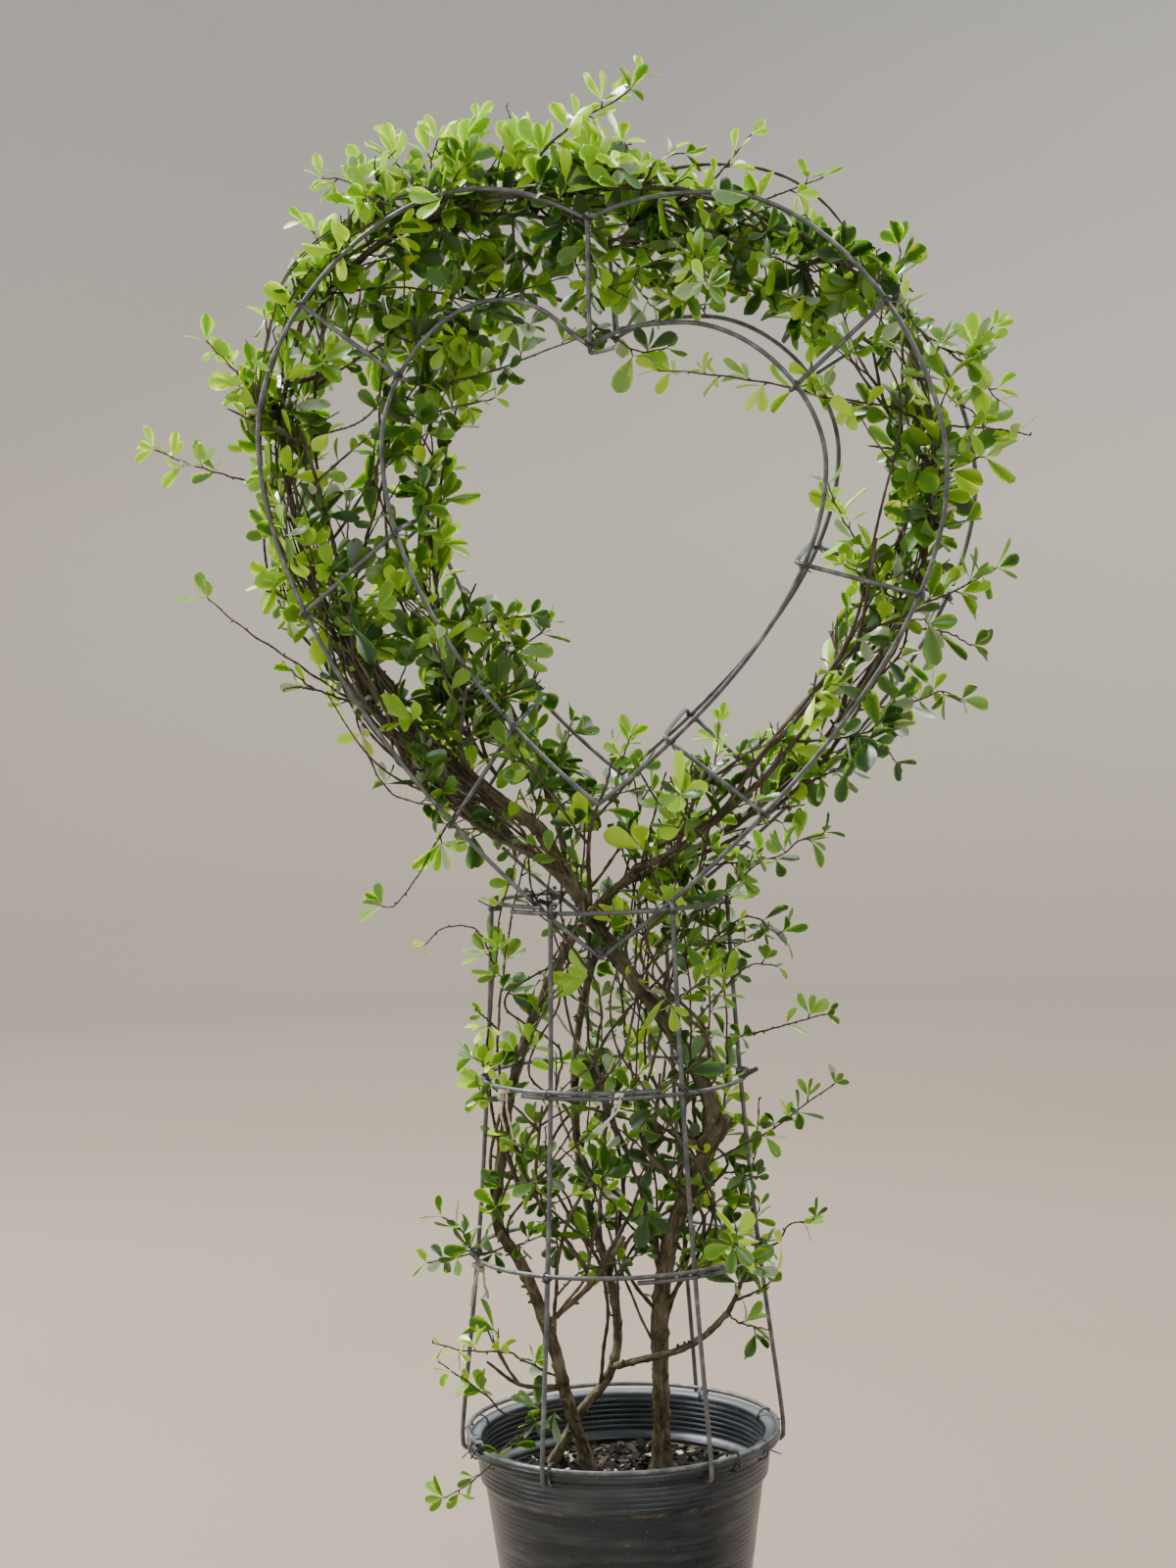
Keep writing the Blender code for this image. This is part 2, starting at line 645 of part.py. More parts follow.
def join(mass):
    """One Boolean union of a mass's stem, twigs and leaves, kept as its one outer shell."""
    stem = put(mass.name, *mass.pieces[0], LEAF_GREEN)
    parts = bpy.data.collections.new(mass.name + "_parts")
    bpy.context.scene.collection.children.link(parts)
    for k, piece in enumerate(mass.pieces[1:]):
        put(f"{mass.name}_{k}", *piece, LEAF_GREEN, parts)
    union = stem.modifiers.new("union", "BOOLEAN")
    union.operation = "UNION"
    union.operand_type = "COLLECTION"
    union.collection = parts
    for solver in ("EXACT", "MANIFOLD"):
        union.solver = solver
        scene_now = bpy.context.evaluated_depsgraph_get()
        joined = bpy.data.meshes.new_from_object(stem.evaluated_get(scene_now))
        if keep_outer_shell(joined):
            break
    stem.modifiers.clear()
    stem.data = joined
    for piece in list(parts.objects):
        bpy.data.objects.remove(piece)
    bpy.data.collections.remove(parts)
    return stem


def keep_outer_shell(mesh):
    """Deletes all but the largest connected shell, so no sealed hollow or loose scrap is left.
    True where what stays is closed."""
    shell = bmesh.new()
    shell.from_mesh(mesh)
    bmesh.ops.triangulate(shell, faces=shell.faces)
    left = set(shell.verts)
    groups = []
    while left:
        group, edge = set(), [left.pop()]
        while edge:
            vert = edge.pop()
            group.add(vert)
            for link in vert.link_edges:
                other = link.other_vert(vert)
                if other in left:
                    left.remove(other)
                    edge.append(other)
        groups.append(group)
    groups.sort(key=len)
    spare = [vert for group in groups[:-1] for vert in group]
    bmesh.ops.delete(shell, geom=spare, context="VERTS")
    closed = all(len(edge.link_faces) == 2 for edge in shell.edges)
    shell.to_mesh(mesh)
    shell.free()
    mesh.shade_flat()
    return closed


spun("pot", pot_profile(), POT_PLASTIC)
spun("soil", soil_profile(), POTTING_SOIL)

ring_wire("rim_ring", *RIM_RING)
ring_wire("cage_ring_low", *LOW_RING)
ring_wire("cage_ring_mid", *MID_RING)
ring_wire("cage_ring_top", *TOP_RING)
for number in range(UPRIGHTS):
    upright_wire(f"cage_upright_{number + 1}", CAGE_TURN + math.pi + number * math.tau / UPRIGHTS)
LOOPS = heart_loops()
for (where, size), (halves, depth) in LOOPS.items():
    heart_wire(f"heart_{where}_{size}", halves, depth)
for label, (side, outer_share, inner_share) in STAPLES.items():
    staple_wire(f"heart_staple_{label}", side, outer_share, inner_share, LOOPS)

# Stems from the soil, each with a flare at its foot: (x, y, z, radius)
FOOT = SOIL_TOP + GAP
limb(
    "trunk_right",
    [
        (0.032, 0.034, FOOT, 0.0120),
        (0.033, 0.032, FOOT + 0.025, 0.0088),
        (0.037, 0.020, 0.382, 0.0084),
        (0.054, 0.010, 0.467, 0.0082),
        (0.092, 0.004, 0.556, 0.0086),
        (0.078, 0.000, 0.617, 0.0078),
        (0.026, 0.000, 0.697, 0.0076),
        (-0.013, 0.000, 0.756, 0.0075),
        (-0.054, -0.012, 0.834, 0.0070),
    ],
    sides=8,
)
limb(
    "stem_left",
    [
        (-0.039, 0.024, FOOT, 0.0095),
        (-0.041, 0.020, FOOT + 0.020, 0.0068),
        (-0.050, -0.010, 0.292, 0.0064),
        (-0.062, -0.018, 0.352, 0.0062),
        (-0.088, -0.024, 0.430, 0.0058),
        (-0.112, -0.020, 0.470, 0.0056),
        (-0.106, -0.020, 0.548, 0.0052),
        (-0.084, -0.020, 0.641, 0.0048),
        (-0.030, -0.018, 0.750, 0.0045),
        (0.020, -0.016, 0.800, 0.0042),
    ],
    sides=8,
)
limb(
    "stem_middle",
    [
        (-0.077, 0.041, FOOT, 0.0065),
        (-0.042, 0.040, 0.281, 0.0048),
        (-0.013, 0.040, 0.321, 0.0046),
        (-0.010, 0.040, 0.385, 0.0044),
        (-0.040, 0.040, 0.510, 0.0040),
        (-0.040, 0.036, 0.640, 0.0038),
        (-0.006, 0.034, 0.770, 0.0036),
    ],
)

# Boughs: round the left side, over the top, and round the right side
limb(
    "bough_left_front",
    [(-0.077, -0.024, 0.862, 0.0066), (-0.116, -0.030, 0.896, 0.0058), (-0.190, -0.032, 0.955, 0.0046)],
    parent="trunk_right",
)
limb(
    "bough_left_inner",
    [(-0.052, 0.020, 0.865, 0.0034), (-0.075, 0.024, 0.925, 0.0028)],
    parent="trunk_right",
    share=0.93,
)
limb(
    "bough_left_outer_low",
    [(-0.060, 0.034, 0.810, 0.0046), (-0.140, 0.030, 0.868, 0.0042), (-0.216, 0.026, 0.955, 0.0038),
     (-0.262, 0.016, 1.050, 0.0035)],
    parent="trunk_right",
    share=0.84,
)
limb(
    "bough_left_outer_high",
    [(-0.286, 0.006, 1.150, 0.0033), (-0.289, -0.006, 1.240, 0.0031), (-0.262, -0.014, 1.330, 0.0029)],
    parent="bough_left_outer_low",
)
limb(
    "bough_left_mid",
    [(-0.150, 0.004, 0.915, 0.0042), (-0.205, -0.002, 0.990, 0.0036), (-0.238, -0.010, 1.080, 0.0030)],
    parent="bough_left_front",
    share=0.30,
)
limb(
    "bough_top",
    [(-0.225, -0.026, 1.375, 0.0028), (-0.150, -0.040, 1.408, 0.0026), (-0.060, -0.046, 1.424, 0.0024),
     (0.040, -0.048, 1.428, 0.0022)],
    parent="bough_left_outer_high",
)
limb(
    "bough_right_low",
    [(0.050, -0.020, 0.815, 0.0040), (0.100, -0.024, 0.850, 0.0036), (0.150, -0.026, 0.890, 0.0032)],
    parent="stem_left",
)
limb(
    "bough_right_outer_low",
    [(0.040, 0.034, 0.805, 0.0036), (0.120, 0.030, 0.848, 0.0036), (0.200, 0.024, 0.915, 0.0034),
     (0.262, 0.016, 1.000, 0.0032)],
    parent="stem_middle",
)
limb(
    "bough_right_outer_high",
    [(0.303, 0.004, 1.090, 0.0030), (0.316, -0.008, 1.190, 0.0028), (0.298, -0.018, 1.280, 0.0026)],
    parent="bough_right_outer_low",
)
limb(
    "bough_right_top",
    [(0.262, -0.030, 1.335, 0.0025), (0.205, -0.038, 1.380, 0.0023)],
    parent="bough_right_outer_high",
)
limb(
    "limb_low_right",
    [(0.030, -0.010, 0.342, 0.0036), (0.071, -0.022, 0.357, 0.0033), (0.106, -0.030, 0.390, 0.0028)],
    parent="stem_middle",
    share=0.20,
)
limb(
    "limb_cross",
    [(-0.023, -0.024, 0.415, 0.0028), (0.009, -0.030, 0.462, 0.0024)],
    parent="stem_left",
    share=0.26,
)

# Masses of foliage: carrier, share up it or None for its tip, stem, twigs, leaves each, sprigs
# A sprig is a far tip and whether it is bare.
MASSES = {
    "foliage_left_low": (
        "bough_left_front", 0.45, [(-0.125, -0.055, 0.925), (-0.118, -0.052, 0.985)], 5, 4,
        [((-0.205, -0.060, 0.783), True)],
    ),
    "foliage_left_inner": (
        "bough_left_inner", None, [(-0.095, 0.020, 0.975), (-0.140, 0.010, 1.040)], 5, 4,
        [((-0.052, -0.010, 1.020), False)],
    ),
    "foliage_left_mid": (
        "bough_left_front", None, [(-0.225, -0.035, 1.010), (-0.245, -0.030, 1.090)], 5, 4,
        [((-0.361, -0.075, 1.073), True), ((-0.300, -0.070, 1.040), True)],
    ),
    "foliage_left_high": (
        "bough_left_mid", None, [(-0.248, -0.014, 1.140), (-0.262, -0.040, 1.225)], 6, 4,
        [((-0.406, -0.020, 1.219), False)],
    ),
    "foliage_left_shoulder": (
        "bough_left_outer_high", 0.78, [(-0.240, 0.012, 1.290), (-0.222, 0.016, 1.350)], 6, 4,
        [((-0.362, 0.000, 1.306), False), ((-0.258, 0.030, 1.448), False)],
    ),
    "foliage_top_left": (
        "bough_top", 0.30, [(-0.165, -0.010, 1.425), (-0.110, -0.002, 1.432)], 6, 4,
        [((-0.120, 0.040, 1.490), False)],
    ),
    "foliage_top_middle": (
        "bough_top", 0.68, [(-0.050, -0.015, 1.436), (0.020, -0.010, 1.440)], 5, 4,
        [((0.044, -0.010, 1.520), False), ((-0.048, -0.060, 1.474), False)],
    ),
    "foliage_top_right": (
        "bough_top", None, [(0.090, -0.050, 1.424), (0.140, -0.046, 1.412)], 4, 4,
        [((0.125, -0.020, 1.485), False), ((0.058, -0.090, 1.278), False)],
    ),
    "foliage_right_shoulder": (
        "bough_right_top", None, [(0.200, -0.020, 1.382), (0.232, 0.010, 1.360)], 5, 4,
        [((0.285, 0.010, 1.392), False)],
    ),
    "foliage_right_high": (
        "bough_right_outer_high", 0.62, [(0.275, 0.010, 1.225), (0.262, 0.010, 1.280)], 5, 4,
        [((0.402, 0.000, 1.204), False), ((0.374, 0.020, 1.285), False)],
    ),
    "foliage_right_mid": (
        "bough_right_outer_low", 0.80, [(0.246, -0.030, 1.030), (0.262, -0.034, 1.110)], 4, 4,
        [((0.358, -0.020, 1.080), False)],
    ),
    "foliage_right_low": (
        "bough_right_low", None, [(0.185, -0.028, 0.930), (0.222, -0.030, 0.975)], 5, 4,
        [((0.330, -0.010, 0.960), False)],
    ),
    "foliage_right_foot": (
        "bough_right_low", 0.35, [(0.085, -0.045, 0.865), (0.100, -0.050, 0.900)], 3, 3,
        [((0.200, -0.060, 0.845), False)],
    ),
    "foliage_junction": (
        "trunk_right", 0.88, [(-0.010, -0.040, 0.845), (0.010, -0.045, 0.895)], 4, 4, [],
    ),
    "foliage_cage_top": (
        "trunk_right", 0.70, [(0.055, -0.030, 0.705), (0.072, -0.030, 0.745)], 4, 4,
        [((0.190, -0.060, 0.656), False)],
    ),
    "foliage_cage_right": (
        "trunk_right", 0.50, [(0.045, -0.030, 0.560), (0.050, -0.050, 0.620)], 4, 4,
        [((0.208, -0.030, 0.598), False), ((0.192, -0.030, 0.467), False)],
    ),
    "foliage_cage_left": (
        "stem_left", 0.55, [(-0.070, -0.045, 0.560), (-0.060, -0.050, 0.640)], 3, 2,
        [((-0.160, -0.070, 0.745), False), ((-0.165, -0.020, 0.465), False)],
    ),
    "foliage_pot_left": (
        "stem_left", 0.16, [(-0.090, -0.050, 0.325), (-0.118, -0.070, 0.352)], 2, 2,
        [((-0.178, -0.095, 0.378), False), ((-0.140, -0.105, 0.292), False)],
    ),
    "foliage_cage_low": (
        "limb_low_right", None, [(0.118, -0.034, 0.415), (0.122, -0.040, 0.440)], 2, 2,
        [((0.150, -0.070, 0.355), False)],
    ),
}

for name, (carrier, share, stem_points, *_) in MASSES.items():
    run = SPINES[name] = spine(carrier, share, stem_points)
    keep_clear(name, run)
    TREES[name] = BVHTree.FromPolygons(*tube(run[:, :3], run[:, 3] + AIR, 4))
for number, (name, (_, _, _, twigs, leaves_each, sprigs)) in enumerate(MASSES.items()):
    del TREES[name]
    mass = Mass(name, SPINES[name], FIRST_SEED + number)
    grow(mass, twigs, leaves_each, sprigs)
    TREES[name] = tree_of(join(mass))
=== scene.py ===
import math

import bpy
import numpy as np
from mathutils import Matrix, Vector
from mathutils.kdtree import KDTree


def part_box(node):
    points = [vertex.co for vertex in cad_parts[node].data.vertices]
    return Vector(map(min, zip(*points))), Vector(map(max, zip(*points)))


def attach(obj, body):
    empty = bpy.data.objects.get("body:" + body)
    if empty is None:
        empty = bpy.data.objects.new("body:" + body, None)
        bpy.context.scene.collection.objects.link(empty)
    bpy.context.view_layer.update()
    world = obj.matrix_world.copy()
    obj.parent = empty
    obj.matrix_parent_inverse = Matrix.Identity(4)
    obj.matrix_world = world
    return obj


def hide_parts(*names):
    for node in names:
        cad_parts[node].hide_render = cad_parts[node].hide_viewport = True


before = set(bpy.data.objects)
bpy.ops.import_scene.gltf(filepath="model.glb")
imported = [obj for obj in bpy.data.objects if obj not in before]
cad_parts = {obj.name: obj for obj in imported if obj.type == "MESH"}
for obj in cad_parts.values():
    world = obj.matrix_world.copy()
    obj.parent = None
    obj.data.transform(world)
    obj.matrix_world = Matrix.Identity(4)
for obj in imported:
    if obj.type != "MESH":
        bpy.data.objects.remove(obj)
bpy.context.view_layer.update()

# The camera stands where the photograph was taken from: level with the middle of the plant, 2.6 m in front
# of it and a step to its right, with the whole crown in view and the foot of the pot cut off.
CAMERA_PLACE = (0.337, -2.567, 1.008)
CAMERA_YAW = math.radians(7.862)
CAMERA_PITCH = math.radians(-2.622)
CAMERA_ROLL = math.radians(-1.515)
CAMERA_SENSOR = 36.0
CAMERA_LENS = 62.73

camera_data = bpy.data.cameras.new("camera")
camera_data.sensor_width = CAMERA_SENSOR
camera_data.lens = CAMERA_LENS
camera = bpy.data.objects.new("camera", camera_data)
camera.matrix_world = Matrix.Translation(CAMERA_PLACE) @ (
    Matrix.Rotation(CAMERA_YAW, 3, "Z")
    @ Matrix.Rotation(CAMERA_PITCH, 3, "X")
    @ Matrix.Rotation(math.radians(90), 3, "X")
    @ Matrix.Rotation(CAMERA_ROLL, 3, "Z")
).to_4x4()
bpy.context.scene.collection.objects.link(camera)
bpy.context.scene.camera = camera

# The studio: a plain pale floor that sweeps up into a round wall, open above, with a bright light high on
# the left and slightly behind the plant, a soft one in front on the right, one low on the left, and a rim
# light behind on the right. The floor's and wall's colours go by metres out from the middle plus metres up.
FLOOR_RINGS = (0.0, 0.4, 1.5, 3.5)
FLOOR_RADIUS = 5.4
SWEEP_RADIUS = 1.6
SWEEP_STEPS = 16
WALL_HEIGHT = 7.0
WALL_THICKNESS = 0.1
STUDIO_SEGMENTS = 96
BACKDROP_REACH = 14.0
# Painted light and shade: the colours are darker near the middle, close under the lamps, and lighter far out
# on the floor and low on the wall, where less of their light reaches, so that the backdrop renders evenly
# bright.
BACKDROP_COLOURS = {
    1.5: (0.300, 0.244, 0.190), 3.4: (0.385, 0.318, 0.250), 5.1: (0.560, 0.485, 0.400),
    6.4: (0.600, 0.525, 0.435), 7.4: (0.690, 0.625, 0.525), 8.5: (0.820, 0.765, 0.685),
    10.2: (0.710, 0.710, 0.700),
}
SKY_COLOUR = (0.86, 0.92, 1.0)
SKY_STRENGTH = 0.62
LIGHTS = {
    "key_light": {"place": (-2.1, 0.9, 4.0), "aim": (0.0, 0.0, 1.0), "size": 0.9, "power": 420},
    "front_light": {"place": (1.7, -3.6, 2.6), "aim": (0.0, 0.0, 0.8), "size": 2.6, "power": 45},
    "side_light": {"place": (-3.0, -1.1, 1.7), "aim": (0.0, 0.0, 0.6), "size": 1.4, "power": 40},
    "rim_light": {"place": (2.0, 1.6, 3.2), "aim": (0.1, 0.0, 1.1), "size": 1.2, "power": 90},
}


def surface(name, corners, faces, material, sharp=60, uv=None):
    """A mesh from corners (any shape, last axis x y z) and a list of face arrays, each n x 3 or n x 4.

    uv is a list of arrays that go with the faces, each n x 3 x 2 or n x 4 x 2. Edges where the surface turns
    by more than sharp degrees stay crisp, the rest is shaded smooth.
    """
    mesh = bpy.data.meshes.new(name)
    corners = np.asarray(corners, float).reshape(-1, 3)
    loops = np.concatenate([np.ravel(kind) for kind in faces])
    sizes = np.concatenate([np.full(len(kind), kind.shape[1]) for kind in faces])
    mesh.vertices.add(len(corners))
    mesh.vertices.foreach_set("co", corners.astype(np.float32).ravel())
    mesh.loops.add(len(loops))
    mesh.loops.foreach_set("vertex_index", loops.astype(np.int32))
    mesh.polygons.add(len(sizes))
    mesh.polygons.foreach_set("loop_start", (np.cumsum(sizes) - sizes).astype(np.int32))
    if uv is not None:
        layer = mesh.uv_layers.new(name="along")
        layer.data.foreach_set("uv", np.concatenate([np.ravel(kind) for kind in uv]).astype(np.float32))
    mesh.update(calc_edges=True)
    mesh.validate()
    mesh.shade_smooth()
    mesh.set_sharp_from_angle(angle=math.radians(sharp))
    mesh.materials.append(material)
    piece = bpy.data.objects.new(name, mesh)
    bpy.context.scene.collection.objects.link(piece)
    return piece


def round_z(radius, bearing, height):
    """Points about the Z axis: (r cos a, r sin a, z)."""
    return np.stack([radius * np.cos(bearing), radius * np.sin(bearing), height], axis=-1)


def sleeve_faces(rings, sides):
    """Faces of a sleeve of rings, corner k of ring i being i sides + k, and the fans that close its ends on
    the two pole corners that come after the rings."""
    count = rings * sides
    here = np.arange(count).reshape(rings, sides)
    beside = np.roll(here, -1, axis=1)
    walls = np.stack([here[:-1], beside[:-1], beside[1:], here[1:]], axis=2).reshape(-1, 4)
    first = np.stack([np.full(sides, count), beside[0], here[0]], axis=1)
    last = np.stack([np.full(sides, count + 1), here[-1], beside[-1]], axis=1)
    return [walls, np.vstack([first, last])]


def turned(name, profile, segments, material, wobble=None, sharp=40):
    """A profile of (radius, z) carried round Z: corner (i, k) is (r_i cos a_k, r_i sin a_k, z_i).

    The first and last profile points lie on the axis and become single pole corners. wobble(radius, z,
    bearing) may bend radius and z a little.
    """
    inner = np.asarray(profile, float)[1:-1]
    bearing = 2 * np.pi * np.arange(segments) / segments
    radius, bearing = np.broadcast_arrays(inner[:, :1], bearing[None])
    height = np.broadcast_to(inner[:, 1:], radius.shape)
    if wobble:
        radius, height = wobble(radius, height, bearing)
    rings = round_z(radius, bearing, height)
    corners = np.vstack([rings.reshape(-1, 3), [(0, 0, profile[0][1]), (0, 0, profile[-1][1])]])
    return surface(name, corners, sleeve_faces(len(inner), segments), material, sharp)


class Finish:
    """A Principled material and the small node chains that this object's finishes share."""

    def __init__(self, name, roughness, metallic=0.0, specular=0.5, colour=(0.5, 0.5, 0.5)):
        self.material = bpy.data.materials.new(name)
        self.material.use_nodes = True
        self.tree = self.material.node_tree
        self.shader = self.tree.nodes["Principled BSDF"]
        self.shader.inputs["Roughness"].default_value = roughness
        self.shader.inputs["Metallic"].default_value = metallic
        self.shader.inputs["Specular IOR Level"].default_value = specular
        self.shader.inputs["Base Color"].default_value = (*colour, 1)

    def node(self, kind, values=None, **settings):
        """A new node with its settings, and its inputs set or linked from values."""
        made = self.tree.nodes.new(kind)
        for key, value in settings.items():
            setattr(made, key, value)
        for key, value in (values or {}).items():
            if isinstance(value, bpy.types.NodeSocket):
                self.tree.links.new(value, made.inputs[key])
            else:
                made.inputs[key].default_value = value
        return made

    def where(self, scale=(1, 1, 1), along=False):
        """Object coordinates, or the piece's own UV map, scaled by a Mapping node."""
        source = self.node("ShaderNodeTexCoord").outputs["UV" if along else "Object"]
        return self.node("ShaderNodeMapping", {"Vector": source, "Scale": scale}).outputs["Vector"]

    def noise(self, scale, detail, stretch=(1, 1, 1), along=False, rough=0.55):
        """Noise between 0 and 1."""
        where = self.where(stretch, along)
        values = {"Vector": where, "Scale": scale, "Detail": detail, "Roughness": rough}
        return self.node("ShaderNodeTexNoise", values).outputs["Fac"]

    def ramp(self, fac, stops):
        """Colours or greys along a factor: stops are (place, value)."""
        ramp = self.node("ShaderNodeValToRGB", {"Fac": fac})
        elements = ramp.color_ramp.elements
        while len(elements) < len(stops):
            elements.new(0.5)
        for element, (place, value) in zip(elements, stops):
            element.position = place
            element.color = (*value, 1) if np.ndim(value) else (value, value, value, 1)
        return ramp.outputs["Color"]

    def mix(self, fac, first, second):
        """Two colours mixed by a factor."""
        mix = self.node("ShaderNodeMix", data_type="RGBA")
        for socket, value in ((mix.inputs[0], fac), (mix.inputs[6], first), (mix.inputs[7], second)):
            if isinstance(value, bpy.types.NodeSocket):
                self.tree.links.new(value, socket)
            else:
                socket.default_value = (*value, 1) if np.ndim(value) else value
        return mix.outputs[2]

    def height(self, vector):
        """The z of a vector."""
        return self.node("ShaderNodeSeparateXYZ", {0: vector}).outputs["Z"]

    def math(self, operation, first, second, clamp=False):
        """One Math node."""
        made = self.node("ShaderNodeMath", {0: first, 1: second}, operation=operation, use_clamp=clamp)
        return made.outputs[0]

    def set(self, name, socket):
        """Links a socket to one of the shader's inputs."""
        self.tree.links.new(socket, self.shader.inputs[name])

    def bump(self, height, distance, strength=1.0):
        """Relief of the given depth in metres."""
        values = {"Height": height, "Distance": distance, "Strength": strength}
        self.set("Normal", self.node("ShaderNodeBump", values).outputs["Normal"])


studio_paint = Finish("studio_paint", roughness=0.9, specular=0.2)
from_middle = studio_paint.node(
    "ShaderNodeVectorMath", {0: studio_paint.where((1, 1, 0))}, operation="LENGTH"
).outputs["Value"]
above_floor = studio_paint.height(studio_paint.where())
reach = studio_paint.math("DIVIDE", studio_paint.math("ADD", from_middle, above_floor), BACKDROP_REACH)
studio_paint.set("Base Color", studio_paint.ramp(
    reach, [(distance / BACKDROP_REACH, colour) for distance, colour in BACKDROP_COLOURS.items()]
))
sweep = np.linspace(0, np.pi / 2, SWEEP_STEPS + 1)
wall_radius = FLOOR_RADIUS + SWEEP_RADIUS
studio_profile = np.vstack([
    [(radius, 0) for radius in FLOOR_RINGS],
    np.stack([FLOOR_RADIUS + SWEEP_RADIUS * np.sin(sweep), SWEEP_RADIUS * (1 - np.cos(sweep))], axis=1),
    [(wall_radius, WALL_HEIGHT), (wall_radius + WALL_THICKNESS, WALL_HEIGHT),
     (wall_radius + WALL_THICKNESS, -WALL_THICKNESS), (0, -WALL_THICKNESS)],
])
studio = turned("studio_floor_and_wall", studio_profile[::-1], STUDIO_SEGMENTS, studio_paint.material)

for light_name, light in LIGHTS.items():
    lamp = bpy.data.lights.new(light_name, "AREA")
    lamp.shape = "DISK"
    lamp.size = light["size"]
    lamp.energy = light["power"]
    lamp_object = bpy.data.objects.new(light_name, lamp)
    toward = Vector(light["aim"]) - Vector(light["place"])
    turn = toward.to_track_quat("-Z", "Y")
    lamp_object.matrix_world = Matrix.Translation(light["place"]) @ turn.to_matrix().to_4x4()
    bpy.context.scene.collection.objects.link(lamp_object)
world = bpy.data.worlds.new("sky")
world.use_nodes = True
sky = world.node_tree.nodes["Background"]
sky.inputs["Color"].default_value = (*SKY_COLOUR, 1)
sky.inputs["Strength"].default_value = SKY_STRENGTH
bpy.context.scene.world = world

# The pot: a round nursery pot blown from black polyethylene, with a rolled lip, a collar below it, fine
# ribs round its wall, and dust and a painted highlight on every ledge that faces up. It stands on the rim of
# its recessed underside.
pot_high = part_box("pot")[1]
POT_HEIGHT = pot_high.z
POT_RIM_RADIUS = pot_high.x
POT_LIP = 0.010
POT_COLLAR_RADIUS = 0.1400
POT_COLLAR_LOW_RADIUS = 0.1370
POT_COLLAR_DROP = 0.041
POT_BODY_RADIUS = 0.1325
POT_BASE_RADIUS = 0.103
POT_WALL = 0.002
POT_EDGE = 0.001
POT_FLOOR = 0.004
POT_INNER_ROLL = 0.0045
POT_BODY_RIBS_FROM = 0.006
POT_INSIDE_RIBS_FROM = 0.205
POT_SEGMENTS = 144
RIB_PITCH = 0.0052
RIB_DEPTH = 0.00040
COLLAR_RIB_DEPTH = 0.00080
COLLAR_RIBS = 6
INSIDE_RIB_PITCH = 0.0050
INSIDE_RIB_DEPTH = 0.0009
FOOT_WIDTH = 0.014
FOOT_RECESS = 0.0012
FOOT_CORNER = 0.002
POT_OUT_OF_ROUND = (0.0005, 0.0003)
POT_BLACK = (0.0100, 0.0118, 0.0138)
# Pale grey of the dust, and of the painted highlight on the faces that turn up.
POT_DUST_AND_HIGHLIGHT = (0.205, 0.222, 0.232)
POT_MUD = (0.235, 0.205, 0.165)
POT_SHEEN = (0.74, 0.88, 1.0, 1)
MUD_LINE = [(0.826, 0.0), (0.838, 1.0), (0.846, 1.0), (0.850, 0.0)]


def ribbed(start, end, pitch, depth, steps_each=6):
    """A straight wall from start to end, (radius, z), with ribs: the radius gains depth |sin|^0.7 of the
    height."""
    start, end = np.array(start), np.array(end)
    ribs = max(1, round(abs(end[1] - start[1]) / pitch))
    t = np.linspace(0, 1, ribs * steps_each + 1)
    wall = start + (end - start) * t[:, None]
    wall[:, 0] += depth * (np.abs(np.sin(np.pi * ribs * t)) ** 0.7)
    return wall


def arc(middle, radius, begin, end, steps):
    """Part of a circle in the (radius, z) plane, from one angle in degrees to another."""
    angle = np.radians(np.linspace(begin, end, steps + 1))
    return np.stack([middle[0] + radius * np.cos(angle), middle[1] + radius * np.sin(angle)], axis=1)


def pot_profile():
    """The section, from the middle of the underside out, up the outside, over the lip and down the inside.

    Offsets of a millimetre or less ease its corners.
    """
    lip_low = POT_HEIGHT - POT_LIP
    step = POT_HEIGHT - POT_COLLAR_DROP
    roll = POT_LIP / 2
    inside = POT_COLLAR_LOW_RADIUS - POT_WALL
    body_inside = POT_BODY_RADIUS - POT_WALL
    return np.vstack([
        [(0, FOOT_RECESS), (POT_BASE_RADIUS - FOOT_WIDTH, FOOT_RECESS),
         (POT_BASE_RADIUS - FOOT_WIDTH + POT_EDGE, 0)],
        arc((POT_BASE_RADIUS - FOOT_CORNER, FOOT_CORNER), FOOT_CORNER, -90, 0, 4),
        ribbed((POT_BASE_RADIUS, POT_BODY_RIBS_FROM), (POT_BODY_RADIUS, step - 0.007), RIB_PITCH, RIB_DEPTH),
        [(POT_BODY_RADIUS, step - 0.0035), (POT_BODY_RADIUS + POT_EDGE, step - 0.002),
         (POT_COLLAR_LOW_RADIUS - POT_EDGE, step - 0.0008)],
        ribbed((POT_COLLAR_LOW_RADIUS, step), (POT_COLLAR_RADIUS, lip_low - 0.0012),
               (lip_low - step) / COLLAR_RIBS, COLLAR_RIB_DEPTH),
        [(POT_COLLAR_RADIUS + POT_EDGE, lip_low), (POT_COLLAR_RADIUS + 0.004, lip_low + 0.0002)],
        arc((POT_RIM_RADIUS - roll, lip_low + roll), roll, -80, 90, 12),
        arc((inside + POT_INNER_ROLL, POT_HEIGHT - POT_INNER_ROLL), POT_INNER_ROLL, 90, 180, 5),
        ribbed((inside, POT_HEIGHT - 0.007), (inside, step + 0.002), INSIDE_RIB_PITCH, -INSIDE_RIB_DEPTH),
        [(inside - POT_EDGE, step), (body_inside + POT_EDGE, step - POT_EDGE)],
        ribbed((body_inside, step - 0.003), (body_inside - 0.004, POT_INSIDE_RIBS_FROM),
               INSIDE_RIB_PITCH, -INSIDE_RIB_DEPTH),
        [(POT_BASE_RADIUS - POT_WALL, POT_FLOOR), (0, POT_FLOOR)],
    ])


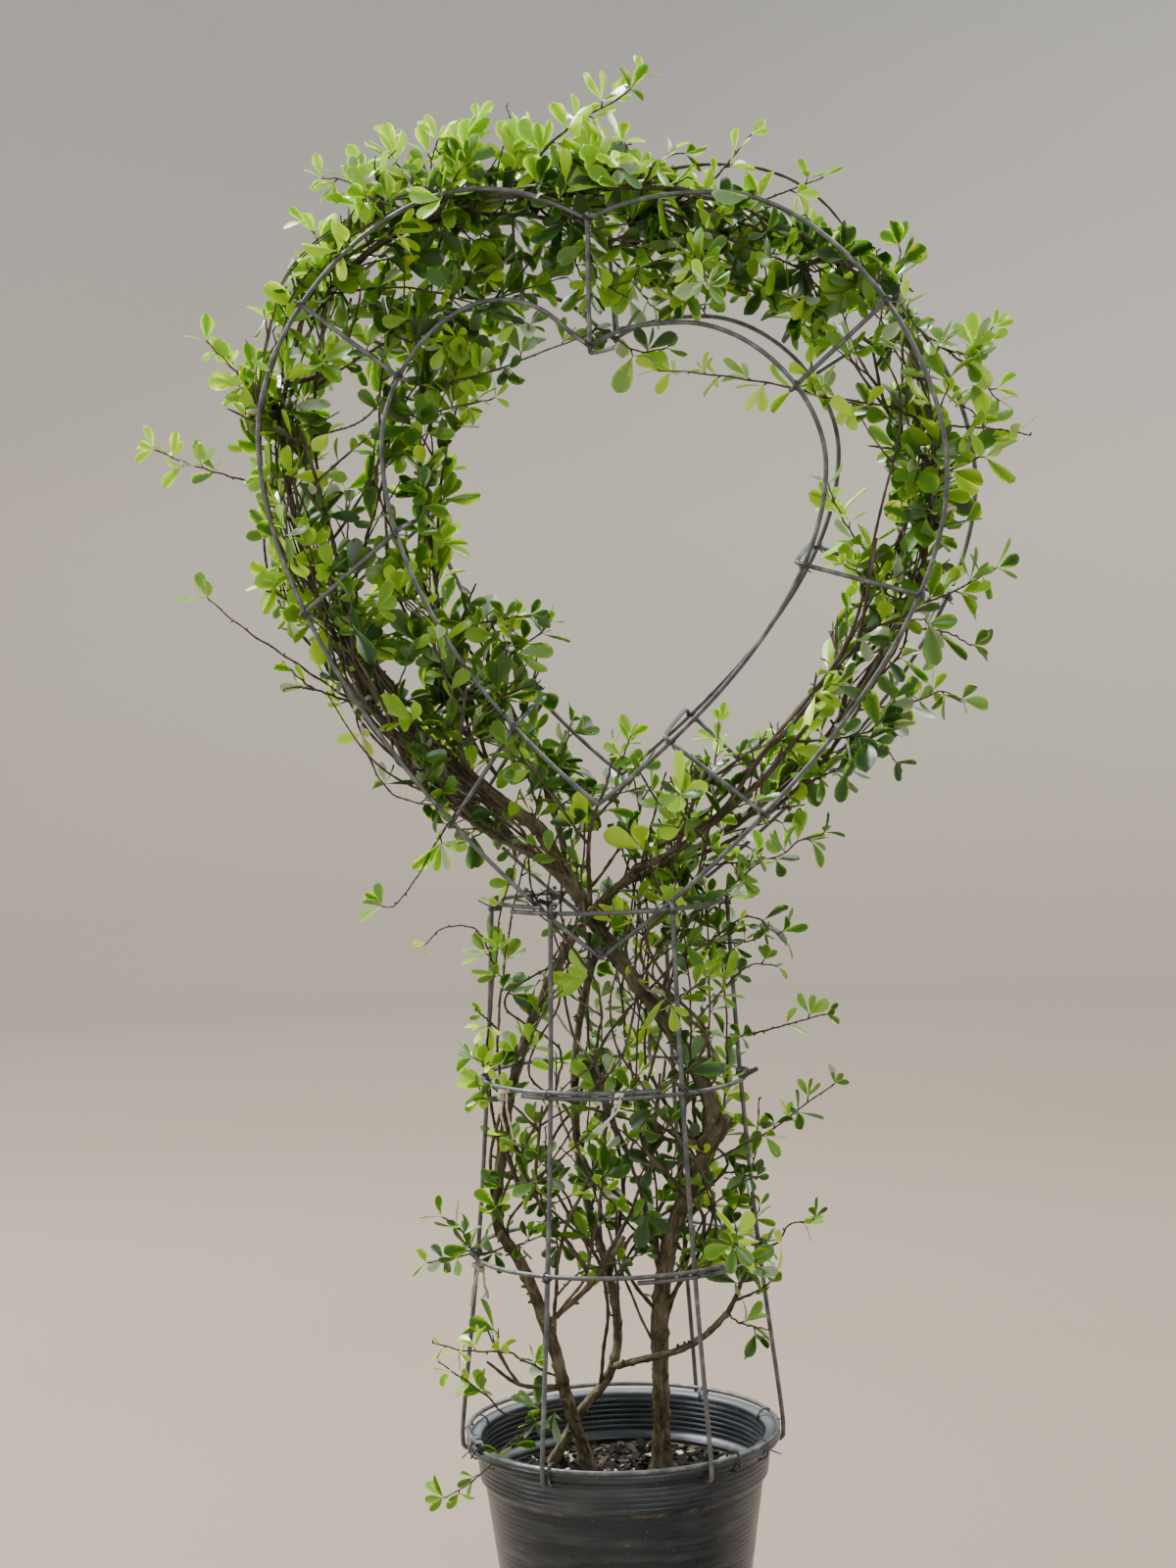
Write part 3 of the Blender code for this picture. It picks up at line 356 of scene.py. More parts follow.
def pot_wobble(radius, height, bearing):
    """Old plastic is never quite round: the wall leans in and out by a few tenths of a millimetre."""
    slow, quick = POT_OUT_OF_ROUND
    bend = slow * np.sin(2 * bearing + 0.6) + quick * np.sin(5 * bearing + 30 * height)
    return radius + bend * np.clip(height / POT_HEIGHT, 0, 1), height


pot_plastic = Finish("pot_plastic", roughness=0.42, specular=0.45)
pot_plastic.shader.inputs["Specular Tint"].default_value = POT_SHEEN
streaks = pot_plastic.noise(11, detail=7.0, stretch=(1, 1, 7))
blotches = pot_plastic.noise(16, detail=5.0)
specks = pot_plastic.noise(260, detail=2.0)
facing_up = pot_plastic.height(pot_plastic.node("ShaderNodeNewGeometry").outputs["Normal"])
# Faces that turn up are paler: dust lying on the ledges, and a painted highlight along the top of the lip.
ledge_dust_and_highlight = pot_plastic.ramp(facing_up, [(0.30, 0.0), (0.90, 0.48)])
film = pot_plastic.math("MULTIPLY", pot_plastic.ramp(streaks, [(0.46, 0.06), (0.70, 0.50)]), blotches)
grit = pot_plastic.math("MULTIPLY", pot_plastic.ramp(specks, [(0.66, 0.0), (0.74, 0.5)]), blotches)
dust_and_highlight = pot_plastic.math("ADD", pot_plastic.math("ADD", film, grit), ledge_dust_and_highlight, clamp=True)
dusted_and_highlighted = pot_plastic.mix(dust_and_highlight, POT_BLACK, POT_DUST_AND_HIGHLIGHT)
up_the_pot = pot_plastic.height(pot_plastic.where((1, 1, 1 / POT_HEIGHT)))
mud = pot_plastic.ramp(pot_plastic.noise(34, detail=6.0), [(0.42, 0.0), (0.66, 0.75)])
mud_line = pot_plastic.math("MULTIPLY", pot_plastic.ramp(up_the_pot, MUD_LINE), mud)
pot_plastic.set("Base Color", pot_plastic.mix(mud_line, dusted_and_highlighted, POT_MUD))
pot_plastic.set("Roughness", pot_plastic.ramp(dust_and_highlight, [(0.0, 0.26), (0.8, 0.62)]))
pot_plastic.bump(pot_plastic.noise(60, detail=5.0, stretch=(1, 1, 8)), 0.0004, 0.5)
pot = turned("nursery_pot", pot_profile(), POT_SEGMENTS, pot_plastic.material, pot_wobble, sharp=50)
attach(pot, "root")
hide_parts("pot")

# The potting mix: dark composted bark with an uneven, crumbly top, strewn with dark crumbs and brown and
# pale chips.
soil_low, soil_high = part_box("soil")
SOIL_TOP = soil_high.z
SOIL_RADIUS = soil_high.x
SOIL_SEGMENTS = 144
SOIL_RINGS = 46
SOIL_CRUMB = 0.0030
CRUMB_LENGTHS = (0.040, 0.024, 0.015, 0.0095, 0.0065, 0.0045)
CRUMB_SINK = 0.9
SOIL_FADE = 0.004
SOIL_BROWNS = [(0.0, (0.005, 0.004, 0.003)), (0.62, (0.018, 0.014, 0.010)), (0.9, (0.11, 0.088, 0.060))]
CHIPS = {
    "bark_crumbs_dark": {"count": 520, "size": (0.006, 0.017), "colour": (0.009, 0.007, 0.005)},
    "bark_chips_brown": {"count": 150, "size": (0.005, 0.018), "colour": (0.052, 0.038, 0.024)},
    "bark_chips_pale": {"count": 120, "size": (0.004, 0.014), "colour": (0.50, 0.44, 0.31)},
}
CHIP_MARGIN = 0.008
CHIP_LIFT = 0.0016
CHIP_WIDTHS = (0.15, 0.40)
CHIP_THICKNESS = 0.07
CHIP_LEAN = 0.45
CHIP_ROLL = 0.3
CHIP_SQUEEZE = (0.6, 1.15)
POT_SEED = 11


def soil_relief(x, y):
    """Crumbs: a sum of waves of different bearings and lengths, from 40 mm down to 4 mm."""
    chance = np.random.default_rng(POT_SEED)
    relief = np.zeros_like(x)
    for length in CRUMB_LENGTHS:
        for _ in range(4):
            bearing, phase = chance.uniform(0, 2 * np.pi, 2)
            wave = (x * np.cos(bearing) + y * np.sin(bearing)) * 2 * np.pi / length
            relief += np.sin(wave + phase) * length**0.8
    return relief / np.abs(relief).max()


def soil_wobble(radius, height, bearing):
    """The top of the fill with its crumbs, which fade out at the pot's wall."""
    on_top = height > SOIL_TOP - 0.0005
    crumbs = soil_relief(radius * np.cos(bearing), radius * np.sin(bearing)) - CRUMB_SINK
    fade = np.clip((SOIL_RADIUS - radius) / SOIL_FADE, 0, 1)
    return radius, height + on_top * SOIL_CRUMB * crumbs * fade


soil_mix = Finish("potting_soil", roughness=0.95, specular=0.2)
crumb_cells = soil_mix.node("ShaderNodeTexVoronoi", {"Vector": soil_mix.where(), "Scale": 210})
crumb_grey = soil_mix.node("ShaderNodeSeparateColor", {0: crumb_cells.outputs["Color"]}).outputs[0]
soil_mix.set("Base Color", soil_mix.ramp(crumb_grey, SOIL_BROWNS))
soil_mix.bump(soil_mix.noise(190, detail=6.0), 0.0016)
soil_radii = np.linspace(SOIL_RADIUS, 0.002, SOIL_RINGS)
soil_profile = np.vstack([
    [(0, soil_low.z), (POT_BASE_RADIUS - POT_WALL - 0.0008, soil_low.z)],
    np.stack([soil_radii, np.full(SOIL_RINGS, SOIL_TOP)], axis=1),
    [(0, SOIL_TOP - SOIL_CRUMB)],
])
soil = turned("potting_mix", soil_profile, SOIL_SEGMENTS, soil_mix.material, soil_wobble)
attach(soil, "root")
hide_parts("soil")

UP = np.array([0, 0, 1.0])


def unit(vectors):
    """The vectors at length one."""
    return vectors / np.maximum(np.linalg.norm(vectors, axis=-1, keepdims=True), 1e-12)


def chips(name, chance, count, size, colour):
    """Flakes scattered on the soil: a box of eight corners squeezed, bent and turned at random.

    Corner (i, j, k) is the place + (i a, j b, k c) turned, with a and b shrinking from one end to the other.
    """
    low, high = size
    reach = (SOIL_RADIUS - CHIP_MARGIN) * np.sqrt(chance.uniform(0, 1, count))
    bearing = chance.uniform(0, 2 * np.pi, count)
    middle = round_z(reach, bearing, SOIL_TOP + chance.uniform(-CHIP_LIFT, CHIP_LIFT, count))
    sign = np.array([(i, j, k) for i in (-1, 1) for j in (-1, 1) for k in (-1, 1)], float)
    length = chance.uniform(low, high, count)
    width = length * chance.uniform(*CHIP_WIDTHS, count)
    half = np.stack([length / 2, width, length * CHIP_THICKNESS], axis=1)
    flakes = sign[None] * half[:, None] * chance.uniform(*CHIP_SQUEEZE, (count, 8, 1))
    spin, lean = chance.uniform(0, 2 * np.pi, count), chance.normal(0, CHIP_LEAN, count)
    ahead = round_z(np.cos(lean), spin, np.sin(lean))
    beside = unit(np.cross(UP + chance.normal(0, CHIP_ROLL, (count, 3)), ahead))
    above = np.cross(ahead, beside)
    axes = np.stack([ahead, beside, above], axis=1)
    corners = middle[:, None] + np.einsum("nck,nkx->ncx", flakes, axes)
    faces = np.array([(0, 1, 3, 2), (4, 6, 7, 5), (0, 4, 5, 1), (2, 3, 7, 6), (0, 2, 6, 4), (1, 5, 7, 3)])
    every = (faces[None] + 8 * np.arange(count)[:, None, None]).reshape(-1, 4)
    chip = Finish(name, roughness=0.85, specular=0.25, colour=colour)
    piece = surface(name, corners, [every], chip.material, sharp=30)
    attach(piece, "root")


chip_chance = np.random.default_rng(POT_SEED + 1)
for chip_name, chip in CHIPS.items():
    chips(chip_name, chip_chance, **chip)

# The frame: galvanised wire, dulled to grey. Four rings and six legs make the cage that stands on the
# pot's rim, and two pairs of hearts, one pair in front of the other, are held apart by seven bent spacers.
# WIRE is the radius that the CAD's crossings leave room for, and WIRE_SHOWN the slightly thinner one drawn.
WIRE = 0.0025
WIRE_SHOWN = 0.0022
WELD = 2 * WIRE + 0.0006
WIRE_SIDES = 10
WIRE_STEP = 0.004
LEGS = 6
CAGE_TURN = math.radians(8.5)
RIM_RING = (0.1482, 0.2729)
LOW_RING = (0.1390, 0.445)
MID_RING = (0.1255, 0.611)
TOP_RING = (0.1065, 0.778)
HOOK_RADIUS = 0.1428
HOOK_Z = POT_HEIGHT - POT_LIP - WIRE - 0.0006
RING_LAPS = {
    "rim_ring": (RIM_RING, -150, 12),
    "cage_ring_low": (LOW_RING, -54, 43),
    "cage_ring_mid": (MID_RING, -94, 62),
    "cage_ring_top": (TOP_RING, -130, 22),
}
HEART_SEAT = (0.000, 0.731)
HEART_LEAN = math.radians(1.3)
HEART_TILT = math.radians(6.0)
HEART_DEPTH = 0.070
OUTER_RIGHT = {"notch": 0.671, "lobe": (0.112, 0.692), "wide": (0.317, 0.442)}
OUTER_LEFT = {"notch": 0.671, "lobe": (0.100, 0.700), "wide": (0.308, 0.479)}
INNER_RIGHT = {"notch": 0.416, "lobe": (0.081, 0.435), "wide": (0.210, 0.306)}
INNER_LEFT = {"notch": 0.416, "lobe": (0.082, 0.458), "wide": (0.193, 0.326)}
OUTER_BOW = {"notch_angle": 0.445, "tip_angle": 0.65, "crown": 0.442, "shoulder": 0.470, "flank": 0.348}
INNER_BOW = {"notch_angle": 0.475, "tip_angle": 0.67, "crown": 0.557, "shoulder": 0.495, "flank": 0.377}
HEART_PULL = 0.33
CROWN_STEPS, SHOULDER_STEPS, FLANK_STEPS = 24, 36, 48
INNER_RISE = 0.144
BACK_OUTER_STRETCH = 1.08
BACK_INNER_SHIFT = (0.005, 0.022)
SPACERS = {
    "notch": ("right", 0.000, 0.000),
    "top_left": ("left", 0.296, 0.318),
    "mid_left": ("left", 0.586, 0.534),
    "low_left": ("left", 0.818, 0.845),
    "top_right": ("right", 0.295, 0.310),
    "mid_right": ("right", 0.562, 0.562),
    "low_right": ("right", 0.800, 0.866),
}
SPACER_END = 0.005
SPACER_BEND = 0.008
SPACER_HOLD = WELD + 0.0025
WIRE_GREYS = [(0.3, (0.070, 0.075, 0.082)), (0.55, (0.140, 0.146, 0.153)), (0.75, (0.26, 0.26, 0.255))]
WIRE_RUST = (0.11, 0.075, 0.05)


def travel(run):
    """How far along a polyline each of its points lies."""
    return np.concatenate([[0], np.cumsum(np.linalg.norm(np.diff(run[:, :3], axis=0), axis=1))])


def even_run(run, step):
    """The same polyline with its points spread evenly, about step apart."""
    travelled = travel(run)
    stops = np.linspace(0, travelled[-1], max(2, round(travelled[-1] / step)) + 1)
    return np.stack([np.interp(stops, travelled, run[:, k]) for k in range(run.shape[1])], axis=1)


def smooth_run(points, step):
    """A Catmull-Rom curve through points, cut into even lengths of about step."""
    knots = np.array(points, float)
    knots = np.vstack([2 * knots[0] - knots[1], knots, 2 * knots[-1] - knots[-2]])
    t = np.linspace(0, 1, 17)[None, :-1, None]
    a, b, c, d = (knots[k : len(knots) - 3 + k, None] for k in range(4))
    curve = 2 * b + (c - a) * t + (2 * a - 5 * b + 4 * c - d) * t**2 + (3 * b - a - 3 * c + d) * t**3
    return even_run(np.vstack([curve.reshape(-1, knots.shape[1]) / 2, knots[-2:-1]]), step)


def cut_corners(run, rounds=2):
    """Chaikin's corner cutting: each stretch is replaced by its quarter and three-quarter points."""
    for _ in range(rounds):
        low = run[:-1] + 0.25 * (run[1:] - run[:-1])
        high = run[:-1] + 0.75 * (run[1:] - run[:-1])
        run = np.vstack([run[:1], np.stack([low, high], axis=1).reshape(-1, run.shape[1]), run[-1:]])
    return run


def along(run, share):
    """The point at each share of a polyline's length, and its direction there."""
    share = np.atleast_1d(share)
    travelled = travel(run)
    place = np.clip(share, 0, 1) * travelled[-1]
    k = np.clip(np.searchsorted(travelled, place, side="right") - 1, 0, len(run) - 2)
    part = ((place - travelled[k]) / (travelled[k + 1] - travelled[k]))[:, None]
    return run[k] + part * (run[k + 1] - run[k]), unit(run[k + 1, :3] - run[k, :3])


def cross_axes(paths, closed=False):
    """Two axes across each path (m x n x 3) at each point, carried along it without twist."""
    if closed:
        ahead = unit(np.roll(paths, -1, axis=1) - np.roll(paths, 1, axis=1))
        middle = paths.mean(axis=1, keepdims=True)
        quarter = paths.shape[1] // 4
        normal = unit(np.cross(paths[:, :1] - middle, paths[:, quarter : quarter + 1] - middle))
        side = unit(np.cross(ahead, normal))
        return side, np.cross(ahead, side)
    ahead = unit(np.gradient(paths, axis=1))
    upright = np.abs(ahead[:, 0, 2]) > 0.8
    start = np.where(upright[:, None], (1.0, 0, 0), UP)
    side = [unit(np.cross(ahead[:, 0], start))]
    for k in range(1, paths.shape[1]):
        last = side[-1]
        side.append(unit(last - ahead[:, k] * (last * ahead[:, k]).sum(axis=1, keepdims=True)))
    side = np.stack(side, axis=1)
    return side, np.cross(ahead, side)


def tube_grid(paths, radii, sides, closed=False):
    """Corners and faces of tubes round paths: corner (m, n, j) is the path + r (side cos a_j + up sin a_j).

    paths is m x n x 3 and radii m x n, or m x n x sides for a relief. Open ends run out to a pole corner
    half a radius beyond the path. Returns corners, faces and the faces' UV: round the tube and along it,
    in metres.
    """
    count, rings = paths.shape[:2]
    side, up = cross_axes(paths, closed)
    turn = 2 * np.pi * np.arange(sides) / sides
    radii = np.broadcast_to(radii if radii.ndim == 3 else radii[..., None], (count, rings, sides))
    out = np.cos(turn)[:, None] * side[:, :, None] + np.sin(turn)[:, None] * up[:, :, None]
    grid = paths[:, :, None] + radii[..., None] * out
    if closed:
        here = np.arange(count * rings * sides).reshape(count, rings, sides)
        beside = np.roll(here, -1, axis=2)
        walls = np.stack([here, beside, np.roll(beside, -1, axis=1), np.roll(here, -1, axis=1)], axis=3)
        return grid.reshape(-1, 3), [walls.reshape(-1, 4)], None
    ahead = np.cross(side, up)
    first = paths[:, 0] - 0.5 * radii[:, 0].mean(axis=1)[:, None] * ahead[:, 0]
    last = paths[:, -1] + 0.5 * radii[:, -1].mean(axis=1)[:, None] * ahead[:, -1]
    corners = np.concatenate([grid.reshape(count, -1, 3), first[:, None], last[:, None]], axis=1)
    shift = (rings * sides + 2) * np.arange(count)[:, None, None]
    faces = [(kind[None] + shift).reshape(-1, kind.shape[1]) for kind in sleeve_faces(rings, sides)]
    step = np.linalg.norm(np.diff(paths, axis=1), axis=2)
    travelled = np.concatenate([np.zeros((count, 1)), np.cumsum(step, axis=1)], axis=1)
    girth = 2 * np.pi * radii.mean(axis=(1, 2))
    around = girth[:, None] * np.arange(sides + 1) / sides
    u = np.stack([around[:, :-1], around[:, 1:], around[:, 1:], around[:, :-1]], axis=2)
    v = np.stack([travelled[:, :-1], travelled[:, :-1], travelled[:, 1:], travelled[:, 1:]], axis=2)
    wall_uv = np.stack(np.broadcast_arrays(u[:, None], v[:, :, None]), axis=4).reshape(-1, 4, 2)
    end_uv = np.zeros((len(faces[1]), 3, 2))
    return corners.reshape(-1, 3), faces, [wall_uv, end_uv]


def tubes(name, paths, radii, sides, material, closed=False):
    """The tubes of tube_grid as one piece."""
    corners, faces, uv = tube_grid(paths, radii, sides, closed)
    return surface(name, corners, faces, material, uv=uv)


def ring_path(radius, height, from_degrees, lap):
    """A ring whose two ends lie side by side for lap degrees: z climbs by one wire's width on its way."""
    steps = int(round(2 * np.pi * radius / WIRE_STEP))
    share = np.linspace(0, 1, steps + 1)
    turn = np.radians(from_degrees - lap / 2 + (360 + lap) * share)
    climb = height + WELD * (share - 0.5)
    return round_z(radius, turn, climb)


def leg_path(bearing):
    """A leg: hooked under the pot's lip, outside the rim ring, inside the two middle rings, outside the top
    ring and bent over it.

    Its profile of (radius, z) has the rings' places, with offsets of a few millimetres for the bends.
    """
    rim_radius = RIM_RING[0] + WELD
    top_radius = TOP_RING[0] + WELD
    profile = np.array([
        (HOOK_RADIUS, HOOK_Z),
        (rim_radius - 0.005, HOOK_Z - 0.0015),
        (rim_radius - 0.0008, HOOK_Z + 0.0005),
        (rim_radius, HOOK_Z + 0.005),
        (rim_radius, RIM_RING[1] + 0.006),
        (LOW_RING[0] - WELD, LOW_RING[1]),
        (MID_RING[0] - WELD, MID_RING[1]),
        (top_radius, TOP_RING[1] - 0.012),
        (top_radius, TOP_RING[1] + 0.001),
        (TOP_RING[0] + 0.0040, TOP_RING[1] + WELD),
        (TOP_RING[0] - 0.0030, TOP_RING[1] + WELD + 0.0004),
    ])
    profile = cut_corners(profile, 3)
    return even_run(round_z(profile[:, 0], bearing, profile[:, 1]), WIRE_STEP)


def bezier(start, pull, push, end, count):
    """A cubic Bezier curve between two points, without its last point."""
    t = np.linspace(0, 1, count + 1)[:-1, None]
    return (1 - t) ** 3 * start + 3 * (1 - t) ** 2 * t * pull + 3 * (1 - t) * t**2 * push + t**3 * end


def heart_half(shape, bow):
    """Half a heart from notch to tip: over the lobe, round the shoulder, and down the flank."""
    notch = np.array([0.0, shape["notch"]])
    lobe, wide, tip = np.array(shape["lobe"]), np.array(shape["wide"]), np.zeros(2)
    rise = bow["notch_angle"]
    slope = bow["tip_angle"]
    leave = HEART_PULL * np.linalg.norm(lobe - notch) * np.array([math.cos(rise), math.sin(rise)])
    arrive = HEART_PULL * np.linalg.norm(wide) * np.array([math.cos(slope), math.sin(slope)])
    across, down = bow["shoulder"] * (wide[0] - lobe[0]), bow["shoulder"] * (lobe[1] - wide[1])
    crown = bezier(notch, notch + leave, lobe - (bow["crown"] * lobe[0], 0), lobe, CROWN_STEPS)
    shoulder = bezier(lobe, lobe + (across, 0), wide + (0, down), wide, SHOULDER_STEPS)
    flank = bezier(wide, wide - (0, bow["flank"] * wide[1]), arrive, tip, FLANK_STEPS)
    return np.vstack([crown, shoulder, flank, [tip]])


def heart_place(flat, depth):
    """Points of the heart's plane, (across, up), set in space at a depth behind the cage's axis."""
    flat = np.atleast_2d(flat)
    across = flat[:, 0] * math.cos(HEART_LEAN) + flat[:, 1] * math.sin(HEART_LEAN)
    up = flat[:, 1] * math.cos(HEART_LEAN) - flat[:, 0] * math.sin(HEART_LEAN)
    back, rise = depth - up * math.sin(HEART_TILT), HEART_SEAT[1] + up * math.cos(HEART_TILT)
    return np.stack([HEART_SEAT[0] + across, back, rise], axis=1)


def heart_loops():
    """The four hearts, each as its two halves in the heart's plane and its depth."""
    loops = {}
    for where in ("front", "back"):
        for size in ("outer", "inner"):
            right, left, bow = OUTER_RIGHT, OUTER_LEFT, OUTER_BOW
            if size == "inner":
                right, left, bow = INNER_RIGHT, INNER_LEFT, INNER_BOW
            halves = {"right": heart_half(right, bow), "left": heart_half(left, bow) * (-1, 1)}
            for half in halves.values():
                if size == "inner":
                    half += (0, INNER_RISE)
                if where == "back" and size == "outer":
                    half *= (BACK_OUTER_STRETCH, 1)
                if where == "back" and size == "inner":
                    half += BACK_INNER_SHIFT
            loops[where, size] = (halves, -HEART_DEPTH if where == "front" else HEART_DEPTH)
    return loops


def spacer_path(side, outer_share, inner_share):
    """A spacer: across the front hearts, back through the heart's thickness, and out across the back
    ones."""
    ends = []
    for where in ("front", "back"):
        outer = along(HEARTS[where, "outer"][0][side], outer_share)[0][0]
        inner = along(HEARTS[where, "inner"][0][side], inner_share)[0][0]
        inward = unit(inner - outer)
        depth = HEARTS[where, "outer"][1] + (-WELD if where == "front" else WELD)
        ends.append(heart_place([outer - SPACER_END * inward, inner + SPACER_HOLD * inward], depth))
    (front_out, front_in), (back_out, back_in) = ends
    leg_front, rod, leg_back = unit(front_in - front_out), unit(back_in - front_in), unit(back_out - back_in)
    path = np.array([
        front_out,
        front_in - SPACER_BEND * leg_front,
        front_in - 0.3 * SPACER_BEND * (leg_front - rod),
        front_in + SPACER_BEND * rod,
        back_in - SPACER_BEND * rod,
        back_in - 0.3 * SPACER_BEND * (rod - leg_back),
        back_in + SPACER_BEND * leg_back,
        back_out,
    ])
    return even_run(cut_corners(path, 3), WIRE_STEP)


wire_steel = Finish("wire_steel", roughness=0.5, metallic=0.55, specular=0.5)
tarnish = wire_steel.noise(85, detail=6.0)
spots = wire_steel.noise(420, detail=2.0)
rusty = wire_steel.ramp(spots, [(0.64, 0.0), (0.72, 0.7)])
wire_steel.set("Base Color", wire_steel.mix(rusty, wire_steel.ramp(tarnish, WIRE_GREYS), WIRE_RUST))
wire_steel.set("Roughness", wire_steel.ramp(tarnish, [(0.3, 0.62), (0.7, 0.38)]))
wire_steel.bump(spots, 0.00012, 0.6)
WIRE_PATHS = []


def wire(name, node, path, closed=False):
    """A round wire along a path, which stands for its CAD solid."""
    radii = np.full((1, len(path)), WIRE_SHOWN)
    piece = tubes(name, path[None], radii, WIRE_SIDES, wire_steel.material, closed)
    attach(piece, "root")
    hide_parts(node)
    WIRE_PATHS.append(path)


for ring_node, ((ring_radius, ring_height), lap_middle, lap_degrees) in RING_LAPS.items():
    wire(ring_node + "_wire", ring_node, ring_path(ring_radius, ring_height, lap_middle, lap_degrees))
LEG_BEARINGS = CAGE_TURN + np.pi + 2 * np.pi * np.arange(LEGS) / LEGS
for number, leg_bearing in enumerate(LEG_BEARINGS, 1):
    wire(f"cage_leg_{number}_wire", f"cage_upright_{number}", leg_path(leg_bearing))
HEARTS = heart_loops()
for (where, size), (halves, depth) in HEARTS.items():
    flat = np.vstack([halves["right"], halves["left"][-2:0:-1]])
    wire(f"heart_{where}_{size}_wire", f"heart_{where}_{size}", heart_place(flat, depth), closed=True)
for label, (side, outer_share, inner_share) in SPACERS.items():
    wire(f"spacer_{label}_wire", f"heart_staple_{label}", spacer_path(side, outer_share, inner_share))

# The bindings: turns of thin dark tying wire twisted round the frame where its wires cross, and round the
# pot's rolled lip where it holds the rim ring down.
TIE_RADIUS = 0.0007
TIE_TURNS = 3
TIE_STEPS_EACH = 16
TIE_PITCH = 2.3
TIE_TAIL = 0.012
TIE_SLANT, SPACER_TIE_SLANT = 0.8, 0.6
TOP_TIE_DROP = 0.004
TAIL_STEPS = 4
TIE_SIDES = 5
TIE_GREYS = [(0.35, (0.03, 0.03, 0.033)), (0.7, (0.14, 0.135, 0.13))]
RIM_TIE_BEARINGS = np.radians([-38, -20, 22, 63, 140, 172, 205, 250])
RIM_TIE_HALVES = (0.0085, 0.0098)
RIM_TIE_IN, RIM_TIE_DOWN = 0.0045, 0.0035
TIP_TIE_HALVES = (0.0055, 0.0035)
TIP_TIE_RISE = (0, 0, 0.006)


def binding(middle, axis, across, half_long, half_wide, turns=TIE_TURNS):
    """A coil round an axis: c(t) = middle + p t axis + a cos t across + b sin t (axis x across), with a
    straight tail that sticks out at its end."""
    axis, across = unit(np.asarray(axis, float)), np.asarray(across, float)
    across = unit(across - axis * across.dot(axis))
    over = np.cross(axis, across)
    t = np.linspace(0, 2 * np.pi * turns, turns * TIE_STEPS_EACH + 1)[:, None]
    rise = TIE_PITCH * TIE_RADIUS * (t / (2 * np.pi) - turns / 2)
    coil = middle + rise * axis + half_long * np.cos(t) * across + half_wide * np.sin(t) * over
    out = np.linspace(0.3, 1, TAIL_STEPS)[:, None] * TIE_TAIL
    return np.vstack([coil, coil[-1] + out * unit(0.8 * across + 0.5 * axis + 0.4 * over)])


def out_and_beside(bearing):
    """The level directions away from the cage's axis and round it, at a bearing."""
    outward = np.array([math.cos(bearing), math.sin(bearing), 0.0])
    return outward, np.array([-outward[1], outward[0], 0.0])


tying_wire = Finish("tying_wire", roughness=0.5, metallic=0.5)
tie_mottle = tying_wire.noise(300, detail=3.0)
tying_wire.set("Base Color", tying_wire.ramp(tie_mottle, TIE_GREYS))
ties = []
for leg_bearing in LEG_BEARINGS:
    outward, sideways = out_and_beside(leg_bearing)
    for ring_radius, ring_height in (MID_RING, LOW_RING):
        crossing = (ring_radius - WELD / 2) * outward + ring_height * UP
        slant = unit(sideways + TIE_SLANT * UP)
        ties.append(binding(crossing, slant, outward, WELD / 2 + WIRE + TIE_RADIUS, WIRE * 1.5 + TIE_RADIUS))
    crossing = (TOP_RING[0] + WELD / 2) * outward + (TOP_RING[1] - TOP_TIE_DROP) * UP
    ties.append(binding(crossing, UP, outward, WELD / 2 + WIRE + TIE_RADIUS, WIRE + TIE_RADIUS * 1.5))
for tie_bearing in RIM_TIE_BEARINGS:
    outward, sideways = out_and_beside(tie_bearing)
    middle = (RIM_RING[0] - RIM_TIE_IN) * outward + (POT_HEIGHT - RIM_TIE_DOWN) * UP
    ties.append(binding(middle, sideways, outward, *RIM_TIE_HALVES, turns=2))
for where in ("front", "back"):
    for label, (side, outer_share, inner_share) in SPACERS.items():
        for size, share in (("outer", outer_share), ("inner", inner_share)):
            halves, depth = HEARTS[where, size]
            spot, heading = along(heart_place(halves[side], depth), share)
            proud = np.array([0, -WELD / 2 if where == "front" else WELD / 2, 0])
            slant = unit(heading[0] + SPACER_TIE_SLANT * np.cross(heading[0], (0, 1, 0)))
            ties.append(binding(
                spot[0] + proud, slant, (0, 1, 0), WELD / 2 + WIRE + TIE_RADIUS, WIRE * 1.4 + TIE_RADIUS
            ))
heart_tip = heart_place([(0.0, 0.0)], -HEART_DEPTH)[0]
ties.append(binding(heart_tip + TIP_TIE_RISE, UP, (1, 0, 0), *TIP_TIE_HALVES, turns=5))
tie_rings = max(len(path) for path in ties)
tie_paths = np.stack([along(path, np.linspace(0, 1, tie_rings))[0] for path in ties])
tie_radii = np.full(tie_paths.shape[:2], TIE_RADIUS)
piece = tubes("binding_wire", tie_paths, tie_radii, TIE_SIDES, tying_wire.material)
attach(piece, "root")

